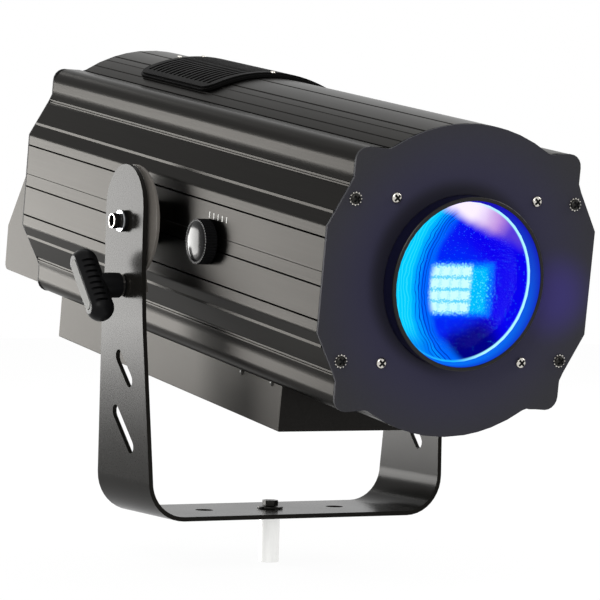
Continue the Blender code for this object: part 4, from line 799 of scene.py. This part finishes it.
def bore_look():
    """The tube's bore in the lamp's light: blue, brighter towards the glass."""
    made, tree, shader = material("lit_tube_bore", Base_Color=linear("101014"), Roughness=0.5,
                                  Specular_IOR_Level=0.0, Emission_Strength=1.0)
    parts = add(tree, "ShaderNodeSeparateXYZ", {0: pattern_space(tree, MM)}).node.outputs
    inward, upward = [(add(tree, "ShaderNodeMapRange", {"Value": value, "From Min": low, "From Max": high}),)
                      for value, low, high in ((parts[1], -337.5, -322.0), (parts[2], -70.0, 70.0))]
    tone = layered(tree, linear("0038D0"), ("0078FF", inward), ("1400B4", upward))
    tree.links.new(tone, shader.inputs["Emission Color"])
    return made


class FOLLOWSPOT_OT_stage(Operator):
    """Sets the camera, the pale floor, the white background and the soft lamps"""
    bl_idname = "followspot.stage"
    bl_label = "Stage"

    def execute(self, context):
        scene = context.scene
        focal, roll = 189.335, radians(1.5687)
        camera = bpy.data.objects.new("camera", bpy.data.cameras.new("camera"))
        scene.collection.objects.link(camera)
        camera.data.sensor_width = 36.0
        camera.data.lens = focal
        spot, aim = Vector((-1.3809, -2.54386, 0.33602)), Vector((0.0, -0.04612, 0.24284))
        camera.matrix_world = self.aimed(spot, aim) @ Matrix.Rotation(roll, 4, "Z")
        scene.camera = camera
        scene.view_settings.view_transform = "Standard"
        centre = Vector((0.0, 0.0, 0.30))
        for name, place, size, power in (
                ("side_softbox", (-0.85, 1.95, 0.26), (1.3, 0.50), 27.0),
                ("low_softbox", (-0.62, 1.15, 0.09), (0.9, 0.17), 1.3),
                ("back_softbox", (-0.10, 2.10, 1.42), (0.30, 0.30), 1.0),
                ("rear_softbox", (2.20, 1.30, 1.50), (1.2, 1.2), 16.0),
                ("front_softbox", (-1.7, -1.8, 1.6), (1.2, 1.2), 29.0),
                ("right_softbox", (1.9, -0.6, 1.3), (1.0, 1.0), 12.0)):
            light = bpy.data.lights.new(name, "AREA")
            light.shape = "RECTANGLE"
            light.size, light.size_y = size
            light.energy = power
            light.color = (1.0, 0.99, 0.97)
            lamp = bpy.data.objects.new(name, light)
            scene.collection.objects.link(lamp)
            lamp.matrix_world = self.aimed(Vector(place), centre)
            lamp.visible_camera = False
        self.background(scene)
        self.floor(scene)
        return {"FINISHED"}

    @staticmethod
    def aimed(place, aim):
        """The placement of a camera or a lamp that looks at a point."""
        turn = (aim - place).to_track_quat("-Z", "Y").to_matrix().to_4x4()
        return Matrix.Translation(place) @ turn

    def background(self, scene):
        """White to the camera, in reflections and through glass; a plain soft level for the light."""
        world = bpy.data.worlds.new("studio")
        world.use_nodes = True
        scene.world = world
        tree = world.node_tree
        tree.nodes.clear()
        light, shown = [add(tree, "ShaderNodeBackground", {"Color": WHITE, "Strength": level})
                        for level in (0.45, 1.0)]
        mixed = add(tree, "ShaderNodeMixShader", {0: self.seen(tree), 1: light, 2: shown})
        add(tree, "ShaderNodeOutputWorld", {0: mixed})

    def floor(self, scene):
        """A pale floor that keeps the shadow and otherwise melts into the background."""
        look, tree, shader = material("pale_studio_floor", Base_Color=linear("FCFCFC"), Roughness=0.9)
        white = add(tree, "ShaderNodeEmission", {"Color": WHITE, "Strength": 1.03})
        share = add(tree, "ShaderNodeMath", {0: self.seen(tree), 1: 0.92}, operation="MULTIPLY")
        mixed = add(tree, "ShaderNodeMixShader", {0: share, 1: shader.outputs[0], 2: white})
        output = next(item for item in tree.nodes if item.type == "OUTPUT_MATERIAL")
        tree.links.new(mixed, output.inputs["Surface"])
        ground, half = CAD_BOX[0].z, 4.0
        mesh = prism([rounded_box(half, half, half / 2, 16)], ground - 0.02, ground)
        mesh.materials.append(look)
        floor = bpy.data.objects.new("floor", mesh)
        scene.collection.objects.link(floor)

    @staticmethod
    def seen(tree):
        """One for rays from the camera, in reflections and through glass."""
        rays = add(tree, "ShaderNodeLightPath").node.outputs
        either = rays["Is Camera Ray"]
        for kind in ("Is Glossy Ray", "Is Transmission Ray"):
            either = add(tree, "ShaderNodeMath", {0: either, 1: rays[kind]}, operation="MAXIMUM")
        return either


class FOLLOWSPOT_OT_housing(Operator):
    """Extruded housing with its beads and grooves, opened for the vent, the driver box and the knob"""
    bl_idname = "followspot.housing"
    bl_label = "Housing"

    def execute(self, context):
        outline = whole(housing_quarter(True), housing_quarter(False))
        mesh = moved(prism([outline, housing_bore()], -HOUSING_BACK, -HOUSING_FRONT), FACING_FRONT)
        half = crown_point(VENT_HALF_ANGLE)[0] - VENT_BORDER
        vent = ((-half, VENT_FRONT + VENT_BORDER, 0.10), (half, VENT_FRONT + VENT_LENGTH - VENT_BORDER, 0.15))
        hole = prism([arc_points((0.0, 0.0), SHAFT_HOLE_RADIUS, 0.0, 345.0, 23)], -0.006, 0.006)
        hole = moved(hole, *outward(-1, HALF, FOCUS_Y))
        mesh = carved(mesh, boxes(vent), boxes((BELLY_LOW, BELLY_HIGH)), hole)
        settle("housing_extrusion", moved(mesh, HEAD), "anodised", "anodised", "housing", smooth=22.0)
        return {"FINISHED"}


class FOLLOWSPOT_OT_plates(Operator):
    """Front and rear plates and the eight screws of the front plate"""
    bl_idname = "followspot.plates"
    bl_label = "End plates and screws"

    def execute(self, context):
        dressed("plate", "black_paint", sizes().edge_round, "front_plate")
        dressed("coat", "black_paint", sizes().edge_round, "rear_plate")
        corners = ("top_left", "top_right", "bottom_left", "bottom_right")
        dome = [(0.0, 0.0022), (0.0018, 0.0022), (0.0032, 0.0020), (0.0041, 0.0015), (0.0046, 0.0007),
                (0.0047, 0.0), (0.0, 0.0)]
        arm, web, turn = 0.0034, 0.0010, 0.7071
        cross = [(web, web), (web, arm), (-web, arm), (-web, web), (-arm, web), (-arm, -web),
                 (-web, -web), (-web, -arm), (web, -arm), (web, -web), (arm, -web), (arm, web)]
        cross = [((x - y) * turn, (x + y) * turn) for x, y in cross]
        # Black crosses sunk in the recesses are painted shade in the screw heads' slots
        recess, painted_recess_shade = prism([cross], 0.0006, 0.004), prism([cross], 0.0004, 0.0011)
        for group, (x, z), lift, look in (("inner", INNER_SCREWS, 0.0003, "nickel"),
                                          ("outer", OUTER_SCREWS, 0.0012, "black_steel")):
            grid = {"Columns": 2, "Rows": 2, "Start": (-x, -z, lift), "Column step": (2 * x, 0.0, 0.0),
                    "Row step": (0.0, 2 * z, 0.0)}
            head = carved(turned(dome, 32), recess.copy())
            faced(f"{group}_screw_heads", repeated(head, "row", look, **grid), look, "bright_steel",
                  *[f"{group}_screw_{corner}" for corner in corners])
            # The recesses' painted shade: a black cross sunk in each head
            faced(f"{group}_screw_recess_painted_shade", repeated(painted_recess_shade.copy(), "row", "plastic", **grid), "plastic",
                  "black_steel")
        tooth = boxes(((-0.0007, -0.00045, 0.0), (0.0006, 0.00045, 0.0007)))
        teeth = repeated(tooth, "ring", "nickel", Count=12, Radius=0.0052)
        band = turned([(0.0050, 0.0008), (0.0050, 0.0), (0.0030, 0.0), (0.0030, 0.0008)], 24, True)
        # The grid is still that of the outer screws; the washers lie under their heads
        grid["Start"] = (-x, -z, 0.0003)
        faced("outer_lock_washers", repeated(gathered(teeth, band), "row", "nickel", **grid), "nickel",
              "bright_steel")
        return {"FINISHED"}


class FOLLOWSPOT_OT_lens(Operator):
    """Lens tube with its lit bore, domed front lens, and the lit field behind it"""
    bl_idname = "followspot.lens"
    bl_label = "Lens"

    def execute(self, context):
        bore, lens = TUBE_RADIUS - TUBE_WALL, 0.0695
        dressed("tube", "black_paint", 0.0004, "lens_tube")
        rim = [(TUBE_RADIUS + 0.0002, TUBE_PROUD - 0.0022), (TUBE_RADIUS + 0.0004, TUBE_PROUD - 0.0006),
               (TUBE_RADIUS - 0.0003, TUBE_PROUD + 0.0001), (bore + 0.0003, TUBE_PROUD + 0.0001),
               (bore - 0.0002, TUBE_PROUD - 0.0006), (bore - 0.0002, TUBE_PROUD - 0.0022)]
        faced("lens_tube_rim", turned(rim, 96, True), "black_steel", "black_paint")
        ball = (lens ** 2 + LENS_SAG ** 2) / (2 * LENS_SAG)
        angles = [asin(lens / ball) * step / 14 for step in range(15)]
        front = [(ball * sin(angle), -LENS_EDGE + LENS_SAG - ball * (1 - cos(angle))) for angle in angles]
        inner = [(radius * 0.985, height - 0.0016) for radius, height in reversed(front)]
        faced("front_lens_shell", turned(front + inner, 96), "glass", "glass", "front_lens")
        dish = [(0.0, -0.0005), (0.030, -0.0002), (0.055, 0.0004), (0.0665, 0.0008), (lens, 0.0014),
                (lens, -0.0036), (0.0, -0.0036)]
        faced("lit_lens_back", turned(dish, 96), "glow", "glass")
        lining = [(bore - 0.0001, TUBE_PROUD - 0.0006), (bore - 0.0001, 0.0016), (bore - 0.0004, 0.0016),
                  (bore - 0.0004, TUBE_PROUD - 0.0009)]
        faced("lit_tube_bore", turned(lining, 96, True), "bore", "black_paint")
        # The clip ring takes the bore's painted blue glow
        painted("bore", "lens_clip_ring")
        return {"FINISHED"}


class FOLLOWSPOT_OT_vent(Operator):
    """Curved vent on the crown with slots across it and its screws"""
    bl_idname = "followspot.vent"
    bl_label = "Top vent"

    def execute(self, context):
        half, long = radians(VENT_HALF_ANGLE) * CROWN_RADIUS, VENT_LENGTH / 2
        middle = VENT_FRONT + long
        count, cuts, sharp = sizes().vent_slots, 32, 60.0
        slot = rounded_box(half - VENT_BORDER - 0.002, VENT_SLOT / 2, 0.0020, 3)
        rows = [(index - (count - 1) / 2) * VENT_PITCH for index in range(count)]
        outlines = [rounded_box(half - 0.0018, long - 0.0018, 0.0122, 8)]
        outlines += [[(x, y + row) for x, y in slot] for row in rows]
        cover = bevelled(prism(outlines, 0.0, VENT_T - 0.0003), 0.0008, 2, sharp)
        lip = prism([rounded_box(half + 0.0004, long + 0.0004, 0.0144, 8),
                     rounded_box(half - 0.0050, long - 0.0050, 0.0090, 8)], 0.0, VENT_T - 0.0022)
        shape = opened(cover, bevelled(lip, 0.0007, 2, sharp))
        for index in range(1, cuts):
            bmesh.ops.bisect_plane(shape, geom=shape.verts[:] + shape.edges[:] + shape.faces[:],
                                   plane_co=(-half + 2 * half * index / cuts, 0.0, 0.0),
                                   plane_no=(1.0, 0.0, 0.0))
        for vert in shape.verts:
            x, y, z = vert.co
            across, up = crown_point(degrees(x / CROWN_RADIUS), z + 0.0003)
            vert.co = (across, y + middle, up)
        settle("vent_cover", moved(meshed(shape), HEAD), "vent", "black_plastic", "top_vent")
        lift, edge = VENT_T - 0.0004, long - VENT_BORDER / 2
        heads = [self.screw(0.0, middle - edge, lift), self.screw(0.0, middle + edge, lift),
                 self.screw(-2.0, 0.540, 0.0)]
        settle("vent_screws", moved(gathered(*heads), HEAD), "nickel", "bright_steel")
        return {"FINISHED"}

    @staticmethod
    def screw(angle, along, lift):
        """A small pan head on the crown."""
        across, up = crown_point(angle, lift)
        head = turned([(0.0, 0.0014), (0.0012, 0.0013), (0.0020, 0.0008), (0.0023, 0.0), (0.0, 0.0)], 20)
        return moved(head, Matrix.Translation((across, along, up)), Matrix.Rotation(radians(angle), 4, "Y"))


class FOLLOWSPOT_OT_boxes(Operator):
    """Driver box under the housing and control box behind it, with panel, sockets and buttons"""
    bl_idname = "followspot.boxes"
    bl_label = "Driver box and controls"

    def execute(self, context):
        dressed("sheet", "anodised", 0.0008, "driver_box")
        dressed("sheet", "anodised", 0.0006, "control_box")
        rivet = [(0.0, 0.0012), (0.0016, 0.0011), (0.0026, 0.0006), (0.0030, 0.0), (0.0, 0.0)]
        heads = [moved(turned(rivet, 20), *outward(sign, DRIVER_BOX_HALF, along, up))
                 for _, sign in SIDES for along, up in ((0.1330, -0.1110), (0.1890, -0.1120))]
        settle("driver_box_rivets", moved(gathered(*heads), HEAD), "black_steel", "black_steel")
        dressed("plastic", "black_plastic", 0.0004, "signal_in", "signal_out", "power_inlet")
        dressed("plastic", "black_plastic", 0.0005, *[f"button_{index + 1}" for index in range(4)])
        dressed("screen", "display_window", 0.0003, "display")
        painted("board", "control_board")
        turn = Matrix(((1.0, 0.0, 0.0), PANEL_UP, PANEL_OUT)).transposed().to_4x4()
        # A frame round the display, then a dash under each button, in the panel's own x and y
        half, line, ink = 0.033, 0.0005, 0.0002
        low, high = 0.0095, 0.0385
        lines = [(-half, high - line, half, high), (-half, low, half, low + line),
                 (-half - line, low, -half, high), (half, low, half + line, high)]
        lines += [(x - 0.0025, -0.0038, x + 0.0025, -0.0032) for x in (-0.027, -0.009, 0.009, 0.027)]
        lines = boxes(*[((left, bottom, 0.0), (right, top, ink)) for left, bottom, right, top in lines])
        settle("panel_lines", moved(lines, HEAD, Matrix.Translation(PANEL_CENTRE) @ turn), "white_print",
               "anodised")
        return {"FINISHED"}


class FOLLOWSPOT_OT_tilt(Operator):
    """Tilt plates, friction washers, pivot screws and their washers"""
    bl_idname = "followspot.tilt"
    bl_label = "Tilt joint"

    def execute(self, context):
        # The head's outer radius and the socket's inner one, over its seat on the washers
        head, socket, seat = 0.0066, 0.0050, ARM_X + 0.0052
        for side, sign in SIDES:
            dressed("enamel", "bright_steel", 0.0004, f"tilt_plate_{side}")
            arm, screw = [(HEAD, *outward(sign, across, PIVOT_Y)) for across in (ARM_X, seat)]
            for kind, reach, low, high, look, slot in (
                    ("pivot_washer", 0.0096, 0.0003, 0.0033, "plastic", "black_plastic"),
                    ("spring_washer", 0.0099, 0.0036, 0.0049, "zinc", "bright_steel")):
                node = f"{kind}_{side}"
                ring = turned([(reach, low), (reach, high - 0.0003), (reach - 0.0003, high), (0.0053, high),
                               (0.0053, low)], 48, True)
                settle(f"{node}_finished", moved(ring, *arm), look, slot, node, body=BODY_OF[node])
            dressed("zinc", "zinc", 0.0006, f"clamp_nut_{side}")
            painted("fibre", f"friction_washer_{side}")
            knurl = boxes(((-0.0004, -0.0003, 0.0), (0.0003, 0.0003, 0.0050)))
            knurls = repeated(knurl, "ring", "black_steel", Count=36, Radius=head)
            knurls = moved(knurls, Matrix.Translation((0.0, 0.0, 0.0010)))
            shank = turned([(0.0, -0.030), (0.0050, -0.030), (0.0050, 0.0), (head, 0.0), (0.0067, 0.0008),
                            (0.0067, 0.0064), (0.0064, 0.0068), (socket, 0.0068), (socket, 0.0030),
                            (0.0, 0.0030)], 36)
            settle(f"pivot_screw_body_{side}", moved(gathered(shank, knurls), *screw), "black_steel",
                   "bright_steel", f"pivot_screw_{side}")
            # A nickel rim round the socket of the black screw: a painted highlight on its chamfer
            rim = turned([(head, 0.0066), (head, 0.0071), (0.0063, 0.0075), (0.0056, 0.0075),
                          (0.0053, 0.0071), (0.0053, 0.0066)], 48, True)
            settle(f"pivot_screw_painted_highlight_{side}", moved(rim, *screw), "nickel", "bright_steel")
        return {"FINISHED"}


class FOLLOWSPOT_OT_lock_knobs(Operator):
    """Lock knobs outside the yoke: stepped hub, grooved handle and plain face plate"""
    bl_idname = "followspot.lock_knobs"
    bl_label = "Lock knobs"

    def execute(self, context):
        # The handle is bulging rows of round-ended outlines, from its back over its widest to its face
        half_length, bulge, rise, front = 0.0388, 0.0125, 0.0176, 0.0248
        layers = []
        for angle in (-74, -62, -50, -38, -26, -13, 0, 12, 24, 36, 47, 56, 62.6):
            half = bulge * cos(radians(angle))
            layers.append((rise + bulge * (1 + sin(radians(angle))),
                           rounded_box(half_length - bulge + half, half, half - 0.00001, 8)))
        count, step = sizes().grip_grooves, 0.0066
        for side, sign in SIDES:
            lean = Matrix.Rotation(-sign * HANDLE_TURN, 4, "Z")
            place = outward(sign, ARM_X, 0.0, PIVOT.z - LOCK_DROP)
            notch = prism([rounded_box(0.0013, 0.0030, 0.0009, 3)], rise + 0.0090, rise + 0.0212)
            notches = repeated(notch, "row", "plastic", Columns=count, Rows=2,
                               Start=(sign * 0.0035 - step * (count - 1) / 2, -bulge, 0.0),
                               **{"Column step": (step, 0.0, 0.0), "Row step": (0.0, 2 * bulge, 0.0)})
            grip = moved(carved(stacked(layers), notches), lean)
            hub = turned([(0.0, 0.0003), (0.0098, 0.0003), (0.0100, 0.0012), (0.0104, 0.0020),
                          (0.0104, 0.0032), (0.0112, 0.0040), (0.0114, 0.0120), (0.0110, 0.0210),
                          (0.0106, 0.0260), (0.0, 0.0260)], 36)
            stud = turned([(0.0, -0.0195), (0.0040, -0.0195), (0.0040, 0.0004), (0.0, 0.0004)], 20)
            ring = turned([(0.0104, 0.0022), (0.0107, 0.0024), (0.0107, 0.0027), (0.0104, 0.0029),
                           (0.0100, 0.0029), (0.0100, 0.0022)], 36, True)
            plate = prism([rounded_box(0.0278, 0.0052, 0.0050, 8)], rise + front - 0.0015,
                          rise + front - 0.0008)
            for name, mesh, look, slot, *nodes in (
                    ("grip", gathered(grip, hub), "plastic", "black_plastic", f"lock_knob_{side}"),
                    ("stud", stud, "zinc", "zinc"),
                    ("ring", ring, "nickel", "bright_steel"),
                    ("face_plate", moved(bevelled(plate, 0.0003), lean), "face_plate", "bright_steel")):
                settle(f"lock_{name}_{side}", moved(mesh, *place), look, slot, *nodes,
                       body=f"lock_knob_{side}_body")
        return {"FINISHED"}


class FOLLOWSPOT_OT_focus_knob(Operator):
    """Focus knob with its scalloped edge, and plain ticks printed above it"""
    bl_idname = "followspot.focus_knob"
    bl_label = "Focus knob"

    def execute(self, context):
        place = (HEAD, *outward(-1, FOCUS_FOOT, FOCUS_Y, -0.0006))
        count, top, cap_radius = sizes().knob_scallops, FOCUS_HEIGHT, FOCUS_RADIUS - 0.0018
        tooth = bevelled(boxes(((-0.0010, -0.0004, -0.0014), (0.0010, 0.0004, 0.0002))), 0.0002, 1)
        teeth = repeated(tooth, "ring", "cap", Count=count, Radius=FOCUS_RADIUS - 0.0011)
        levels = ((0.0, 0.0, 0.0009), (top - 0.0012, 0.0, 0.0009), (top - 0.0003, 0.0005, 0.0008),
                  (top, 0.0012, 0.0003))
        skirt = stacked([(height, self.edge(count, FOCUS_RADIUS - inset, depth))
                         for height, inset, depth in levels])
        dome = [(cap_radius * sin(radians(90 - tilt)), top - 0.0002 + FOCUS_DOME * sin(radians(tilt)))
                for tilt in (90, 80, 70, 60, 50, 40, 30, 20, 10, 0)]
        cap = turned(dome + [(cap_radius, top - 0.0008), (0.0, top - 0.0008)], 96)
        for name, mesh, look, *nodes in (
                ("focus_knob_teeth", moved(teeth, Matrix.Translation((0.0, 0.0, top))), "cap"),
                ("focus_knob_body", skirt, "plastic", "focus_knob"),
                ("focus_knob_cap", cap, "cap")):
            settle(name, moved(mesh, *place), look, "black_plastic", *nodes, body="focus_knob_body")
        tick, foot, ink = 0.0006, 0.0202, 0.00025
        marks = [((-HALF - ink, along - tick, foot), (-HALF, along + tick, foot + 0.0052))
                 for along in (0.2070, 0.1990, 0.1910, 0.1830, 0.1750)]
        settle("focus_ticks", moved(boxes(*marks), HEAD), "white_print", "black_paint")
        return {"FINISHED"}

    @staticmethod
    def edge(count, reach, depth):
        """The scalloped outline at a radius."""
        angles = [2 * pi * index / (count * 6) for index in range(count * 6)]
        radii = [reach - depth * (0.5 + 0.5 * cos(angle * count)) ** 0.5 for angle in angles]
        return [(radius * cos(angle), radius * sin(angle)) for radius, angle in zip(radii, angles)]


class FOLLOWSPOT_OT_yoke(Operator):
    """Yoke strip with rounded edges and the spigot, washer and bolt at its foot"""
    bl_idname = "followspot.yoke"
    bl_label = "Yoke and spigot"

    def execute(self, context):
        dressed("yoke", "yoke_paint", 0.0005, "yoke")
        dressed("spigot", "zinc", 0.0008, "stand_spigot")
        dressed("black_steel", "black_steel", 0.0006, "stand_bolt")
        dressed("black_steel", "black_steel", 0.0003, "stand_washer")
        return {"FINISHED"}


class FOLLOWSPOT_OT_inner(Operator):
    """Finishes of the pieces inside the head"""
    bl_idname = "followspot.inner"
    bl_label = "Inner pieces"

    def execute(self, context):
        for look, *nodes in (("zinc", "optical_frame", "power_supply"),
                             ("aluminium", "focus_carriage", "colour_wheel", "heat_sink"),
                             ("nickel", "focus_shaft", "guide_rod_left", "guide_rod_right"),
                             ("black_steel", "wheel_motor"), ("plastic", "fan_frame", "fan_rotor"),
                             ("glass", "focus_lens", "condenser_lens"), ("filter", "filter_ring"),
                             ("lamp", "lamp_board")):
            painted(look, *nodes)
        return {"FINISHED"}


STEPS = (FOLLOWSPOT_OT_finishes, FOLLOWSPOT_OT_stage, FOLLOWSPOT_OT_housing, FOLLOWSPOT_OT_plates,
         FOLLOWSPOT_OT_lens, FOLLOWSPOT_OT_vent, FOLLOWSPOT_OT_boxes, FOLLOWSPOT_OT_tilt,
         FOLLOWSPOT_OT_lock_knobs, FOLLOWSPOT_OT_focus_knob, FOLLOWSPOT_OT_yoke, FOLLOWSPOT_OT_inner)


class FOLLOWSPOT_PT_panel(Panel):
    """Lists the steps, sizes and colours"""
    bl_label = "Followspot"
    bl_idname = "FOLLOWSPOT_PT_panel"
    bl_space_type = "VIEW_3D"
    bl_region_type = "UI"
    bl_category = "Followspot"

    def draw(self, context):
        for step in STEPS:
            self.layout.operator(step.bl_idname)
        for group in (context.scene.followspot_sizes, context.scene.followspot_colours):
            for name in group.__annotations__:
                self.layout.prop(group, name)


CLASSES = (FollowspotSizes, FollowspotColours, *STEPS, FOLLOWSPOT_PT_panel)


def register():
    for item in CLASSES:
        bpy.utils.register_class(item)
    bpy.types.Scene.followspot_sizes = PointerProperty(type=FollowspotSizes)
    bpy.types.Scene.followspot_colours = PointerProperty(type=FollowspotColours)


def unregister():
    del bpy.types.Scene.followspot_colours
    del bpy.types.Scene.followspot_sizes
    for item in reversed(CLASSES):
        bpy.utils.unregister_class(item)


def main():
    """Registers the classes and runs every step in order."""
    register()
    for step in STEPS:
        group, name = step.bl_idname.split(".")
        getattr(getattr(bpy.ops, group), name)()


if __name__ == "__main__":
    main()
